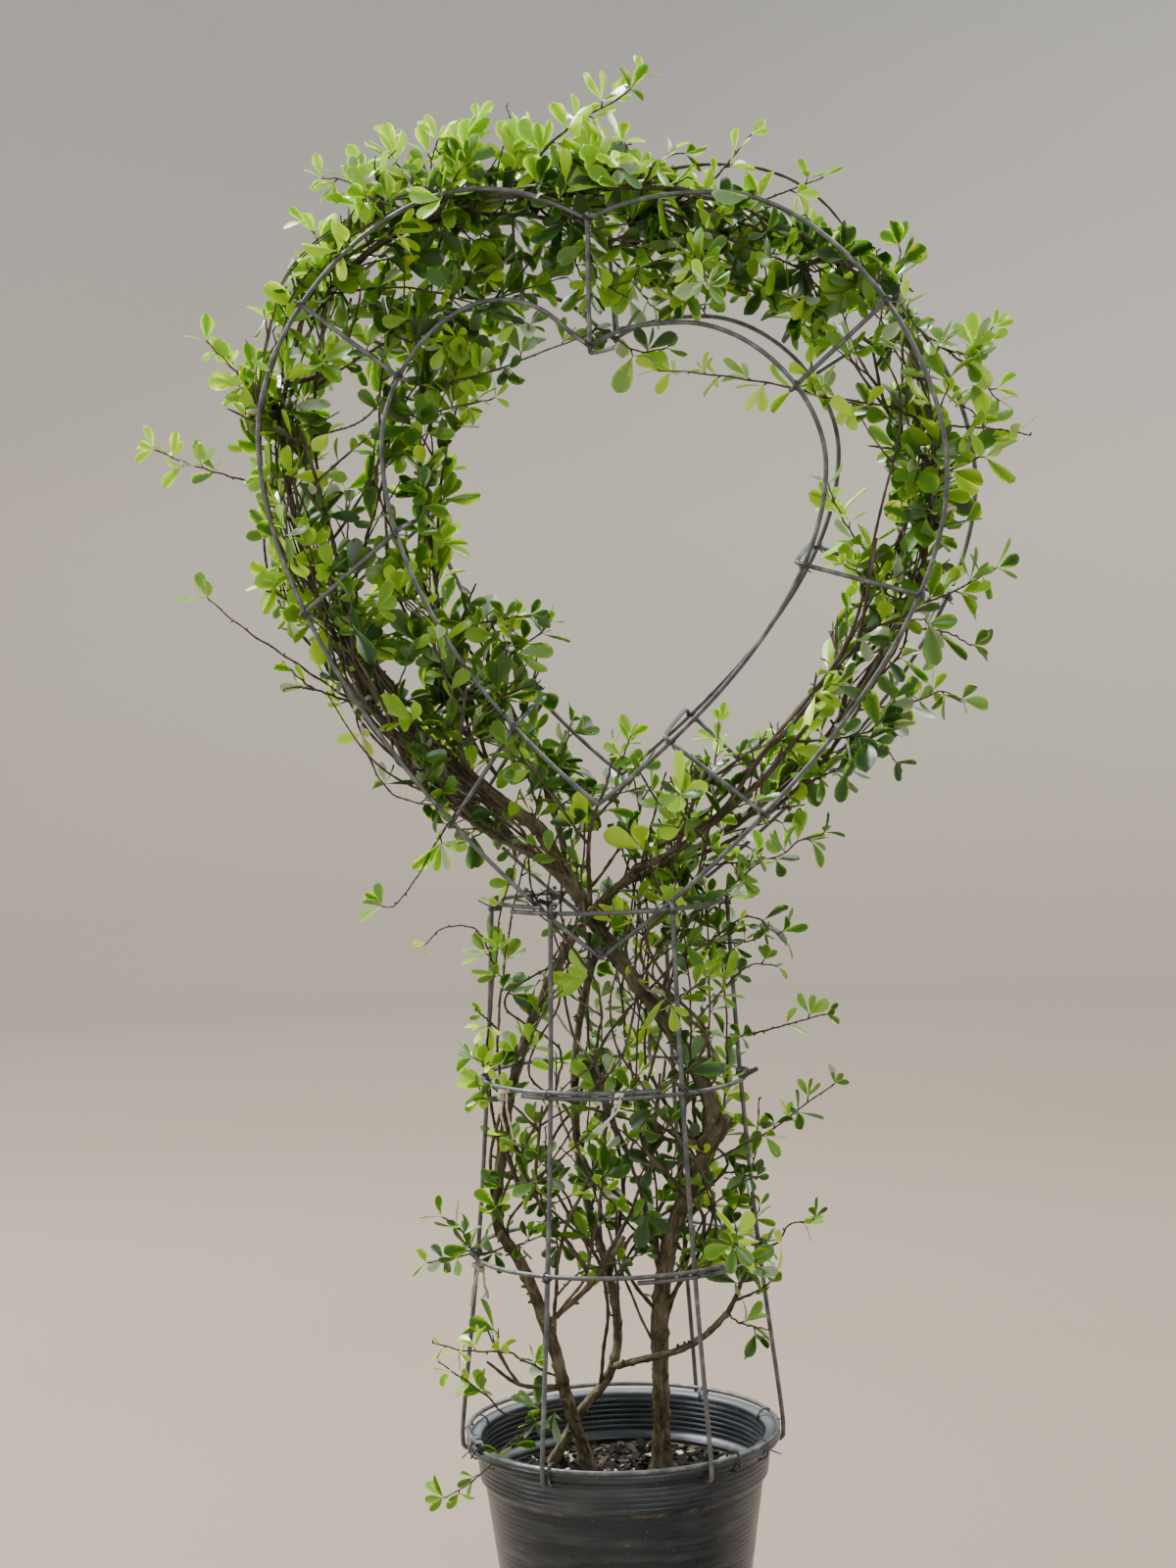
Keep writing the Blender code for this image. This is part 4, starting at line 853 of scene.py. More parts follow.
# The stems and boughs: three brown stems out of the soil, with low ridges in their bark, knots where
# twigs were cut, and a flare where each leaves the soil or its parent. Each run goes on into its boughs.
RING_LINK = 0.0125
BARK_STEP = 0.0026
STEM_RUNS = {
    "right_stem_and_front_bough": ("trunk_right", "bough_left_front"),
    "left_stem_and_low_bough": ("stem_left", "bough_right_low"),
    "middle_stem_and_right_boughs": (
        "stem_middle", "bough_right_outer_low", "bough_right_outer_high", "bough_right_top"
    ),
    "left_outer_boughs": ("bough_left_outer_low", "bough_left_outer_high", "bough_top"),
    "left_inner_bough": ("bough_left_inner",),
    "left_middle_bough": ("bough_left_mid",),
    "low_right_limb": ("limb_low_right",),
    "crossing_limb": ("limb_cross",),
}
BRANCH_PARENTS = {
    "left_outer_boughs": "right_stem_and_front_bough",
    "left_inner_bough": "right_stem_and_front_bough",
    "left_middle_bough": "right_stem_and_front_bough",
    "low_right_limb": "middle_stem_and_right_boughs",
    "crossing_limb": "left_stem_and_low_bough",
}
BARK_SEED = 23
SLIMMING_HEIGHTS = (0.84, 1.00)
SLIMMING = (0.92, 0.66)
THICK_STEM = 0.006
THICK_SIDES, THIN_SIDES = 22, 14
BARK_RIDGES = ((3, 0.075), (5, 0.055), (8, 0.040))
RIDGE_WANDERS = (0.05, 0.021, 0.011)
BARK_BROWNS = [(0.34, (0.020, 0.016, 0.008)), (0.52, (0.080, 0.064, 0.034)), (0.70, (0.215, 0.180, 0.105))]
BARK_WEATHERED = (0.200, 0.185, 0.115)
BARK_LICHEN = (0.33, 0.32, 0.26)
BARK_KNOT_GAPS = (0.010, 0.024)
BARK_KNOT_WIDTHS = (0.0022, 0.0042)
BARK_KNOT_SWELLS = (0.20, 0.55)
STEM_SINK = 0.004
SNAG_SPACING = 0.011
SNAG_STUMPS = (0.0006, 0.0022)
SNAG_RADII = (0.0009, 0.0017)
SNAG_TAPER = (1.5, 1.25, 0.95, 0.9)
SNAG_SIDES = 6
STUB = np.array([
    (0.084, 0.000, 0.541, 0.0090), (0.094, -0.002, 0.550, 0.0085),
    (0.103, -0.003, 0.560, 0.0070), (0.107, -0.004, 0.572, 0.0055),
])


def axis_of(node):
    """The centre line of a limb's CAD solid from root to tip: the middle and radius of each ring of corners.

    Corners closer than RING_LINK belong to one ring, and the rings are strung together nearest to nearest.
    """
    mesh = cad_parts[node].data
    corners = np.empty(len(mesh.vertices) * 3, np.float32)
    mesh.vertices.foreach_get("co", corners)
    corners = np.unique(np.round(corners.reshape(-1, 3).astype(float), 5), axis=0)
    near = np.linalg.norm(corners[:, None] - corners[None], axis=2) < RING_LINK
    label = np.arange(len(corners))
    for _ in range(len(corners)):
        lowest = np.where(near, label[None], len(corners)).min(axis=1)
        if (lowest == label).all():
            break
        label = lowest
    rings = [corners[label == k] for k in np.unique(label)]
    middles = np.array([ring.mean(axis=0) for ring in rings])
    radii = np.array([np.linalg.norm(ring - ring.mean(axis=0), axis=1).mean() for ring in rings])
    order = [int(np.linalg.norm(middles - middles.mean(axis=0), axis=1).argmax())]
    while len(order) < len(rings):
        distance = np.linalg.norm(middles - middles[order[-1]], axis=1)
        distance[order] = np.inf
        order.append(int(distance.argmin()))
    if radii[order[0]] < radii[order[-1]]:
        order.reverse()
    return np.column_stack([middles[order], radii[order]])


LIMB_AXES = {node: axis_of(node) for nodes in STEM_RUNS.values() for node in nodes}
STEMS = {}
for run_name, nodes in STEM_RUNS.items():
    knots = np.vstack([LIMB_AXES[nodes[0]]] + [LIMB_AXES[node][1:] for node in nodes[1:]])
    if run_name in BRANCH_PARENTS:
        trunk = STEMS[BRANCH_PARENTS[run_name]]
        nearest = int(np.linalg.norm(trunk[:, :3] - knots[0, :3], axis=1).argmin())
        knots = np.vstack([[*trunk[nearest, :3], 1.3 * knots[0, 3]], knots])
    STEMS[run_name] = smooth_run(knots, BARK_STEP)


def slimmed(run):
    """The radii at which a limb is drawn: its solid's, slimmer where it thins out into whips."""
    return np.interp(run[:, 2], SLIMMING_HEIGHTS, SLIMMING) * run[:, 3]


def bark_radii(run, sides, chance):
    """Relief round a limb: r(s, a) = r(s) (1 + ridges + knots).

    Ridges are waves of 3, 5 and 8 round the limb whose phase wanders along it, and a knot is a bell-shaped
    swelling on one side every 10 to 24 mm, where a twig once came off.
    """
    count = len(run)
    travelled = np.arange(count) * np.linalg.norm(run[1, :3] - run[0, :3])
    turn = 2 * np.pi * np.arange(sides) / sides
    relief = np.zeros((count, sides))
    for waves, height in BARK_RIDGES:
        wander = sum(
            chance.uniform(0.4, 1.2) * np.sin(travelled[:, None] / length + chance.uniform(0, 6.3))
            for length in RIDGE_WANDERS
        )
        relief += height * np.sin(waves * turn + wander)
    spot = chance.uniform(0.004, 0.02)
    while spot < travelled[-1]:
        width = chance.uniform(*BARK_KNOT_WIDTHS)
        swell = chance.uniform(*BARK_KNOT_SWELLS)
        swell *= min(1.0, BARK_KNOT_WIDTHS[1] / np.interp(spot, travelled, run[:, 3]))
        side = 0.5 + 0.5 * np.cos(turn - chance.uniform(0, 2 * np.pi))
        relief += swell * np.exp(-(((travelled - spot) / width) ** 2))[:, None] * (0.35 + 0.65 * side**2)
        spot += chance.uniform(*BARK_KNOT_GAPS)
    return slimmed(run)[:, None] * (1 + relief)


stem_bark = Finish("stem_bark", roughness=0.85, specular=0.3)
grain = stem_bark.noise(1.0, detail=6.0, stretch=(230, 62, 1), along=True, rough=0.62)
patches = stem_bark.noise(34, detail=4.0)
lichen = stem_bark.noise(130, detail=4.0)
brown = stem_bark.ramp(grain, BARK_BROWNS)
weathered = stem_bark.mix(stem_bark.ramp(patches, [(0.45, 0.0), (0.70, 0.65)]), brown, BARK_WEATHERED)
lichened = stem_bark.ramp(lichen, [(0.66, 0.0), (0.76, 0.6)])
stem_bark.set("Base Color", stem_bark.mix(lichened, weathered, BARK_LICHEN))
stem_bark.bump(grain, 0.0020)
bark_chance = np.random.default_rng(BARK_SEED)
for run_name, run in STEMS.items():
    sides = THICK_SIDES if run[:, 3].max() > THICK_STEM else THIN_SIDES
    radii = bark_radii(run, sides, bark_chance)
    corners, faces, uv = tube_grid(run[None, :, :3], radii[None], sides)
    if run_name not in BRANCH_PARENTS:
        corners[:, 2] = np.maximum(corners[:, 2], SOIL_TOP - STEM_SINK)
    piece = surface(run_name, corners, faces, stem_bark.material, uv=uv)
    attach(piece, "root")
    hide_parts(*STEM_RUNS[run_name])

stub_run = smooth_run(STUB, BARK_STEP)
stub_radii = bark_radii(stub_run, THIN_SIDES, bark_chance)[None]
piece = tubes("cut_branch_stub", stub_run[None, :, :3], stub_radii, THIN_SIDES, stem_bark.material)
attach(piece, "root")


def snags(run, chance):
    """Short snags and buds round a limb: centre lines p(t) = middle + t (r + stump) side, where side leans
    a little ahead, r is the limb's radius there and t goes from 0 to 1."""
    count = int(travel(run)[-1] / SNAG_SPACING)
    middle, ahead = along(run, chance.uniform(0.02, 0.98, count))
    side = unit(np.cross(ahead, chance.normal(0, 1, (count, 3))) + 0.35 * ahead)
    thick = slimmed(middle)
    stump = chance.uniform(*SNAG_STUMPS, count) + chance.exponential(0.0014, count)
    t = np.array([0.0, 0.6, 0.85, 1.0])[None, :, None]
    paths = middle[:, None, :3] + t * (thick + stump)[:, None, None] * side[:, None]
    radii = chance.uniform(*SNAG_RADII, (count, 1)) * np.array(SNAG_TAPER)
    return paths, np.minimum(radii, 0.55 * thick[:, None])


snag_rows = [snags(run, bark_chance) for run in STEMS.values()]
snag_paths, snag_radii = (np.vstack([row[k] for row in snag_rows]) for k in (0, 1))
piece = tubes("stem_snags", snag_paths, snag_radii, SNAG_SIDES, stem_bark.material)
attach(piece, "root")

# The whips: long thin shoots, two to four millimetres thick, that were bent along the wires as they grew.
# They leave the stems and boughs and run beside them in loose bundles, up the cage and round the heart. A
# bundle is how many there are, the last share to begin and the first to end at, and how far they stray.
WHIP_RINGS = 72
WHIP_SHARES = np.linspace(0, 1, WHIP_RINGS)
WHIP_SIDES = 7
WHIP_KNOB = 0.30
WHIP_BROWNS = [(0.35, (0.028, 0.020, 0.014)), (0.65, (0.090, 0.066, 0.045))]
WHIP_PALE = (0.190, 0.155, 0.112)
WHIP_ZIGZAG = 0.0006
WHIP_BENDS = (60, 90)
WHIP_ROOT = 0.22
WHIP_TAPER = 0.35
WHIP_THICKNESS = (0.0013, 0.0022)
CAGE_WHIPS = 20
CAGE_WHIP_THICKNESS = (0.0012, 0.0020)
CAGE_WHIP_FROM = (0.28, 0.56)
CAGE_WHIP_TO = (0.74, 0.90)
CAGE_WHIP_GOAL = (0.085, 0.045)
CAGE_WHIP_SWING = 0.040
CAGE_WHIP_TIP = 0.0008
CAGE_RADIUS = 0.108
DRIFT_WAVES = (1.0, 2.2, 4.1)
WHIP_SEED = 31


def eased(share):
    """A smooth rise from 0 to 1."""
    share = np.clip(share, 0, 1)
    return share * share * (3 - 2 * share)


def drift(chance):
    """A smooth random wander of about unit size along a whip."""
    return sum(
        chance.normal(0, 1 / wave) * np.sin(np.pi * wave * WHIP_SHARES + chance.uniform(0, 6.3))
        for wave in DRIFT_WAVES
    )[:, None]


def zigzag(chance):
    """The small steps from side to side at a whip's joints."""
    return WHIP_ZIGZAG * np.sin(np.linspace(0, chance.uniform(*WHIP_BENDS), WHIP_RINGS))[:, None]


def beside_run(run, begin, end, spread, thick, chance):
    """A whip that leaves a run at one share of its length and keeps beside it to another.

    Its path is the run's + spread (side f(s) + up g(s)) eased in from its root, with f and g smooth
    random drifts, and a small zigzag at its joints.
    """
    share = np.linspace(begin, end, WHIP_RINGS)
    spine = along(run, share)[0][:, :3]
    side, up = (axis[0] for axis in cross_axes(spine[None]))
    rise = eased(WHIP_SHARES / WHIP_ROOT)[:, None]
    steps = zigzag(chance)
    across = drift(chance) * spread
    above = drift(chance) * spread
    path = spine + rise * ((across + steps) * side + above * up)
    return np.column_stack([path, np.linspace(thick, WHIP_TAPER * thick, WHIP_RINGS)])


def tilt_forward(height):
    """How far the tilted heart's plane has come forward at a height: tan(tilt) (z - seat) above the seat."""
    return math.tan(HEART_TILT) * np.clip(height - HEART_SEAT[1], 0, None)


def with_heart(points):
    """Points set out against an upright heart, moved forward as the heart tilts."""
    points = np.array(points, float)
    points[..., 1] -= tilt_forward(points[..., 2])
    return points


def guide(points):
    """A smooth run through given places in the upright heart, for whips to keep beside."""
    return smooth_run(with_heart(points), 0.01)


def cage_whip(chance):
    """A whip inside the cage: it leaves a stem low down and climbs, wandering, to the foot of the heart."""
    stem = STEMS[("right_stem_and_front_bough", "right_stem_and_front_bough", "left_stem_and_low_bough",
                  "middle_stem_and_right_boughs")[chance.integers(4)]]
    low = stem[stem[:, 2] < chance.uniform(*CAGE_WHIP_FROM)][-1]
    levels = np.linspace(low[2], chance.uniform(*CAGE_WHIP_TO), 6)[1:]
    goal = np.array([chance.uniform(-reach, reach) for reach in CAGE_WHIP_GOAL])
    swing = chance.normal(0, CAGE_WHIP_SWING, (5, 2))
    share = np.linspace(0.2, 1, 5)[:, None]
    middle = (1 - share) * low[:2] + share * goal + swing * np.sin(np.pi * share)
    far = np.linalg.norm(middle, axis=1, keepdims=True)
    middle *= np.minimum(1, CAGE_RADIUS / far)
    knots = np.vstack([low[:3], np.column_stack([middle, levels])])
    path = along(smooth_run(knots, 0.01), WHIP_SHARES)[0]
    path += zigzag(chance) * (1, 0.5, 0)
    thick = chance.uniform(*CAGE_WHIP_THICKNESS)
    return np.column_stack([path, np.linspace(thick, CAGE_WHIP_TIP, WHIP_RINGS)])


RIGHT_RUN = STEMS["middle_stem_and_right_boughs"]
GUIDES = {
    "left_outer": STEMS["left_outer_boughs"],
    "left_front": guide([(-0.050, -0.020, 0.825), (-0.120, -0.034, 0.892), (-0.195, -0.030, 0.960),
                         (-0.245, -0.020, 1.050), (-0.272, -0.010, 1.150), (-0.275, -0.004, 1.245),
                         (-0.240, 0.000, 1.330)]),
    "left_inner": guide([(-0.060, 0.000, 0.850), (-0.118, -0.006, 0.925), (-0.160, -0.006, 1.020),
                         (-0.180, -0.010, 1.120), (-0.176, -0.012, 1.220), (-0.140, -0.014, 1.310),
                         (-0.080, -0.016, 1.360)]),
    "left_under": guide([(-0.030, -0.044, 0.805), (-0.095, -0.050, 0.848), (-0.160, -0.046, 0.908),
                         (-0.220, -0.040, 0.985), (-0.262, -0.034, 1.080), (-0.285, -0.030, 1.170)]),
    "top": guide([(-0.262, -0.002, 1.325), (-0.190, -0.008, 1.392), (-0.100, -0.006, 1.424),
                  (0.010, -0.006, 1.420), (0.110, -0.004, 1.415), (0.190, -0.002, 1.380),
                  (0.262, 0.000, 1.310)]),
    "right_outer": RIGHT_RUN[RIGHT_RUN[:, 2] > 0.76],
    "right_inner": guide([(0.020, -0.014, 0.810), (0.110, -0.020, 0.872), (0.185, -0.018, 0.950),
                          (0.250, -0.012, 1.040), (0.288, -0.010, 1.140), (0.292, -0.010, 1.240),
                          (0.250, -0.012, 1.320)]),
}
WHIP_BUNDLES = {
    "left_outer": (9, 0.30, 0.55, 0.019),
    "left_front": (10, 0.22, 0.55, 0.022),
    "left_under": (6, 0.25, 0.50, 0.012),
    "left_inner": (5, 0.25, 0.60, 0.016),
    "top": (7, 0.35, 0.60, 0.018),
    "right_outer": (6, 0.35, 0.60, 0.012),
    "right_inner": (5, 0.35, 0.60, 0.012),
}

whip_chance = np.random.default_rng(WHIP_SEED)
whips = []
for bundle_name, (count, last_begin, first_end, spread) in WHIP_BUNDLES.items():
    for _ in range(count):
        begin, end = whip_chance.uniform(0, last_begin), whip_chance.uniform(first_end, 1)
        thick = whip_chance.uniform(*WHIP_THICKNESS)
        whips.append(beside_run(GUIDES[bundle_name], begin, end, spread, thick, whip_chance))
for _ in range(CAGE_WHIPS):
    whips.append(cage_whip(whip_chance))
whips = np.stack(whips)

# The led shoots: the younger wood that crosses between the bundles, reaches into the heart or stands out
# from the frame. A row says how thick a shoot is in millimetres, how far its tip lies behind the heart's
# plane, how leafy it is, and its way from root to tip as pixels x, y, x, y of the photograph's frame.
SHOOT_RINGS = 32
SHOOT_TIP = 0.0006
SHOOT_ZIGZAG = 0.0005
SHOOT_BENDS = (30, 45)
PHOTO_SIZE = np.array([1200.0, 1600.0])
FRAME_MIDDLE = PHOTO_SIZE / 2
FOCAL_PIXELS = CAMERA_LENS / CAMERA_SENSOR * PHOTO_SIZE[1]
CAMERA_AXES = np.array(camera.matrix_world.to_3x3())
LED_SHOOTS = [
    # Upper left
    (2.4, -0.02, 0.9, 316, 395, 372, 362, 430, 331, 505, 305, 574, 283),
    (2.2, -0.05, 0.8, 424, 392, 470, 388, 510, 376, 556, 358, 603, 341),
    (2.0, -0.04, 1.0, 427, 422, 460, 416, 500, 408),
    (2.4, -0.08, 0.4, 430, 251, 456, 274, 494, 280, 526, 258),
    (2.2, -0.06, 0.9, 328, 305, 405, 293, 469, 305, 540, 331),
    (2.6, -0.02, 0.5, 360, 500, 389, 459, 420, 400, 445, 370),
    (3.2, -0.03, 0.8, 447, 610, 437, 523, 429, 464, 432, 415),
    (3.0, -0.02, 0.8, 448, 602, 447, 543, 452, 482, 465, 421, 478, 375),
    (3.6, -0.02, 0.4, 379, 569, 390, 492, 399, 439, 410, 385),
    (2.0, -0.04, 0.5, 345, 455, 371, 428, 404, 385),
    (2.6, 0.02, 0.9, 526, 232, 520, 283, 469, 344, 430, 404),
    (2.2, 0.03, 1.0, 574, 242, 526, 286, 492, 330, 470, 380),
    (2.2, 0.04, 1.0, 450, 240, 440, 290, 455, 340, 490, 365),
    (2.0, -0.03, 0.9, 380, 300, 400, 340, 440, 350, 480, 345),
    (2.0, -0.05, 0.9, 590, 330, 612, 335, 649, 358, 677, 356),
    (2.2, -0.03, 1.0, 598, 240, 608, 280, 636, 302),
    (2.0, 0.02, 1.0, 655, 245, 648, 285, 664, 312),
    (2.2, -0.01, 1.0, 690, 240, 702, 275, 696, 305),
    (2.0, 0.03, 1.0, 620, 240, 628, 268, 655, 285),
    (2.2, 0.00, 0.9, 580, 235, 588, 270, 603, 298),
    # Crest
    (2.2, -0.02, 1.0, 405, 222, 375, 200, 352, 184, 330, 182),
    (2.0, 0.00, 0.9, 342, 272, 328, 252, 315, 230),
    (2.4, 0.00, 0.9, 540, 175, 560, 148, 596, 120, 631, 101, 652, 82),
    (2.0, 0.00, 0.7, 588, 190, 609, 162, 643, 147),
    (2.4, -0.02, 1.0, 700, 217, 739, 171, 762, 142),
    (2.0, -0.03, 0.9, 762, 205, 811, 192, 838, 182),
    (2.0, 0.00, 0.9, 628, 200, 643, 182, 681, 160, 697, 156),
    (2.2, 0.00, 1.0, 470, 205, 478, 160, 484, 128),
    (2.2, 0.02, 1.0, 425, 210, 407, 170, 395, 146),
    (2.2, -0.03, 1.0, 450, 205, 440, 172, 445, 148),
    (2.0, 0.03, 0.9, 520, 200, 530, 165, 545, 145),
    (2.0, 0.02, 0.9, 385, 235, 365, 205, 372, 175),
    # Left flank
    (2.4, -0.01, 1.0, 280, 420, 249, 388, 233, 371, 212, 350),
    (2.0, -0.01, 1.0, 285, 430, 262, 405, 240, 392),
    (2.0, -0.02, 0.5, 262, 490, 207, 478, 176, 467, 162, 460),
    (2.4, -0.05, 0.10, 365, 722, 330, 696, 289, 668, 251, 643, 213, 612),
    (2.4, -0.05, 0.10, 365, 722, 337, 709, 314, 699, 289, 676),
    (2.0, -0.04, 0.15, 325, 704, 303, 701, 290, 703),
    (2.0, -0.08, 0.30, 362, 712, 366, 740, 382, 785, 408, 814, 473, 826),
    (2.0, -0.05, 0.20, 456, 845, 440, 868, 430, 888, 404, 923, 392, 925),
    (2.2, -0.04, 1.0, 450, 655, 470, 640, 508, 633, 539, 628),
    (2.0, -0.03, 0.9, 500, 665, 520, 675, 530, 700),
    (2.0, -0.03, 0.9, 505, 690, 521, 668, 549, 648, 560, 637),
    (2.2, -0.02, 1.0, 560, 805, 575, 770, 582, 740),
    (2.0, 0.02, 1.0, 295, 560, 285, 590, 292, 625),
    (2.4, -0.03, 1.0, 545, 815, 532, 770, 512, 735),
    (2.2, -0.01, 1.0, 580, 820, 562, 780, 545, 750),
    (2.2, 0.02, 1.0, 525, 795, 508, 755, 488, 712),
    (2.0, -0.05, 1.0, 470, 720, 492, 700, 515, 712),
    # Right flank
    (2.4, -0.05, 0.7, 957, 431, 905, 415, 834, 404, 815, 397, 760, 387, 705, 380, 672, 378),
    (2.0, -0.03, 0.9, 832, 285, 829, 320, 828, 360, 829, 398),
    (2.0, -0.04, 0.8, 940, 470, 910, 430, 880, 415, 842, 405),
    (2.0, 0.02, 0.8, 984, 485, 999, 466, 1005, 447, 997, 424, 970, 408),
    (2.4, 0.01, 0.9, 953, 328, 987, 374, 1018, 408),
    (2.0, 0.01, 1.0, 965, 350, 992, 360, 1012, 335),
    (2.0, 0.00, 0.6, 970, 431, 1010, 437, 1052, 444),
    (2.0, -0.03, 0.9, 911, 607, 890, 570, 865, 538, 846, 500),
    (2.0, -0.03, 1.0, 920, 620, 888, 592, 862, 577),
    (2.8, 0.03, 0.9, 637, 234, 689, 248, 745, 275, 804, 301),
    (2.0, -0.04, 0.7, 645, 245, 690, 285, 723, 324),
    (2.2, 0.00, 0.9, 677, 278, 735, 286, 781, 301, 815, 305),
    (2.0, 0.00, 1.0, 905, 305, 915, 280, 919, 256),
    (2.0, 0.02, 1.0, 945, 625, 970, 605, 1014, 581),
    (2.0, 0.00, 0.9, 935, 645, 965, 645, 990, 658),
    (2.0, 0.00, 1.0, 905, 735, 935, 715, 960, 705, 975, 712),
    (2.0, -0.02, 0.8, 815, 803, 860, 782, 900, 766, 912, 775),
    (2.0, -0.02, 1.0, 745, 895, 790, 875, 815, 858, 838, 852),
    (2.2, -0.04, 0.8, 712, 901, 725, 840, 729, 788, 734, 742),
    (2.0, -0.03, 1.0, 684, 892, 686, 840, 699, 800),
    (2.2, -0.02, 1.0, 622, 820, 632, 785, 643, 752),
    (2.0, -0.03, 1.0, 722, 932, 745, 905, 772, 882),
    (2.0, -0.04, 0.9, 728, 985, 755, 962, 777, 955),
    (2.0, -0.05, 0.8, 730, 1012, 760, 988, 792, 985),
    (2.0, -0.05, 0.8, 727, 952, 765, 935, 802, 962),
    # Cage
    (3.0, -0.05, 0.3, 503, 1180, 497, 1092, 500, 1040, 506, 980, 512, 925, 530, 870),
    (2.8, -0.03, 0.3, 515, 1150, 508, 1060, 518, 960, 530, 900, 545, 850),
    (3.6, -0.04, 0.3, 503, 1260, 500, 1190, 515, 1120, 535, 1060, 560, 1010, 600, 960),
    (3.2, -0.03, 0.3, 506, 1250, 510, 1180, 525, 1110, 548, 1040, 575, 1000),
    (2.6, -0.05, 0.4, 518, 1141, 535, 1080, 556, 1030, 575, 1010),
    (2.4, 0.00, 0.6, 600, 1290, 612, 1230, 615, 1190, 616, 1096, 612, 1020),
    (3.2, -0.02, 0.4, 518, 1141, 546, 1219, 570, 1265, 595, 1288),
    (2.8, -0.01, 0.7, 700, 1290, 712, 1200, 722, 1100, 724, 1000, 722, 930),
    (2.6, 0.02, 0.7, 700, 1260, 735, 1150, 742, 1060, 735, 960, 734, 925),
    (2.4, -0.04, 0.8, 695, 1230, 700, 1130, 705, 1040, 700, 970, 690, 920),
    (2.4, 0.00, 0.6, 672, 1300, 668, 1200, 650, 1120, 652, 1040, 660, 960),
    (2.4, 0.03, 0.7, 690, 1320, 740, 1250, 768, 1190, 775, 1120),
    (3.0, -0.05, 0.3, 500, 1290, 508, 1240, 540, 1160, 575, 1110, 610, 1085),
    (2.6, -0.04, 0.3, 505, 1285, 520, 1245, 550, 1205, 590, 1140, 600, 1105),
    (4.4, -0.03, 0.2, 600, 1292, 585, 1275, 560, 1245, 545, 1215, 530, 1185, 513, 1120),
    (3.4, 0.00, 0.4, 612, 1290, 598, 1260, 575, 1215, 560, 1190, 556, 1150),
    (4.4, -0.02, 0.3, 605, 1300, 620, 1280, 640, 1245, 652, 1215, 672, 1165, 680, 1140),
    (3.0, 0.01, 0.5, 615, 1275, 613, 1240, 614, 1190, 623, 1130, 640, 1090),
    (3.0, 0.02, 0.5, 600, 1275, 603, 1240, 607, 1210, 600, 1150, 605, 1100),
    (2.4, -0.06, 0.3, 665, 1282, 635, 1240, 600, 1200, 572, 1170),
    (2.4, -0.05, 0.4, 703, 1222, 680, 1195, 650, 1167, 625, 1148),
    (3.0, 0.02, 0.4, 633, 1305, 655, 1270, 665, 1250, 680, 1220, 690, 1170),
    (2.2, -0.04, 0.6, 560, 1322, 590, 1300, 620, 1290, 655, 1280),
    (3.0, 0.00, 0.7, 715, 1310, 725, 1290, 730, 1250, 722, 1215, 716, 1180),
    (2.4, 0.02, 0.6, 700, 1300, 735, 1275, 757, 1262, 775, 1235),
    (2.4, -0.02, 0.6, 705, 1280, 720, 1240, 745, 1215, 770, 1200),
    (2.0, -0.04, 0.9, 510, 1275, 530, 1270, 550, 1262),
    (2.0, -0.03, 0.9, 545, 1215, 560, 1228, 578, 1222),
    (2.0, -0.04, 0.6, 740, 1070, 767, 1055, 812, 1043, 840, 1035),
    (2.0, -0.03, 0.6, 715, 1190, 747, 1174, 787, 1153, 824, 1125, 849, 1108),
    (2.2, -0.05, 0.6, 773, 1290, 790, 1270, 805, 1250, 830, 1245),
    (2.0, -0.05, 0.7, 763, 1322, 755, 1350, 785, 1357),
    (2.0, -0.05, 1.0, 505, 1285, 488, 1280, 470, 1255, 455, 1243),
    (2.0, -0.04, 0.9, 500, 1290, 478, 1280, 440, 1288),
    (2.0, -0.05, 0.35, 503, 1000, 493, 957, 477, 945, 450, 948, 436, 962),
    (2.0, -0.05, 0.6, 507, 1060, 497, 1040, 485, 1030),
    (2.0, -0.06, 0.8, 503, 1110, 492, 1085, 484, 1080),
    (2.2, -0.09, 0.5, 551, 1415, 530, 1386, 518, 1380, 473, 1378, 442, 1370),
    (2.2, -0.10, 0.5, 569, 1439, 518, 1443, 502, 1429, 473, 1407, 447, 1390),
    (2.0, -0.14, 0.45, 569, 1439, 535, 1462, 518, 1474, 503, 1492, 480, 1513, 455, 1528),
    # Toward the viewer
    (2.2, -0.148, 1.0, 705, 235, 714, 262, 722, 292),
]


def seen_at(pixels, depth):
    """Places on the camera's rays through pixels, at depths behind the heart's plane.

    A ray is p(t) = camera + t R (u, v, -1), cut where y = depth - how far the plane has come forward at z,
    which a few rounds settle.
    """
    flat = (pixels - FRAME_MIDDLE) * (1, -1) / FOCAL_PIXELS
    rays = np.column_stack([flat, -np.ones(len(flat))]) @ CAMERA_AXES.T
    level = depth
    for _ in range(4):
        places = CAMERA_PLACE + ((level - CAMERA_PLACE[1]) / rays[:, 1])[:, None] * rays
        level = depth - tilt_forward(places[:, 2])
    return places


def pixels_of(places):
    """The pixels at which the camera sees places: seen_at the other way round."""
    local = (places - CAMERA_PLACE) @ CAMERA_AXES
    return FRAME_MIDDLE + FOCAL_PIXELS * local[:, :2] * (1, -1) / -local[:, 2:]


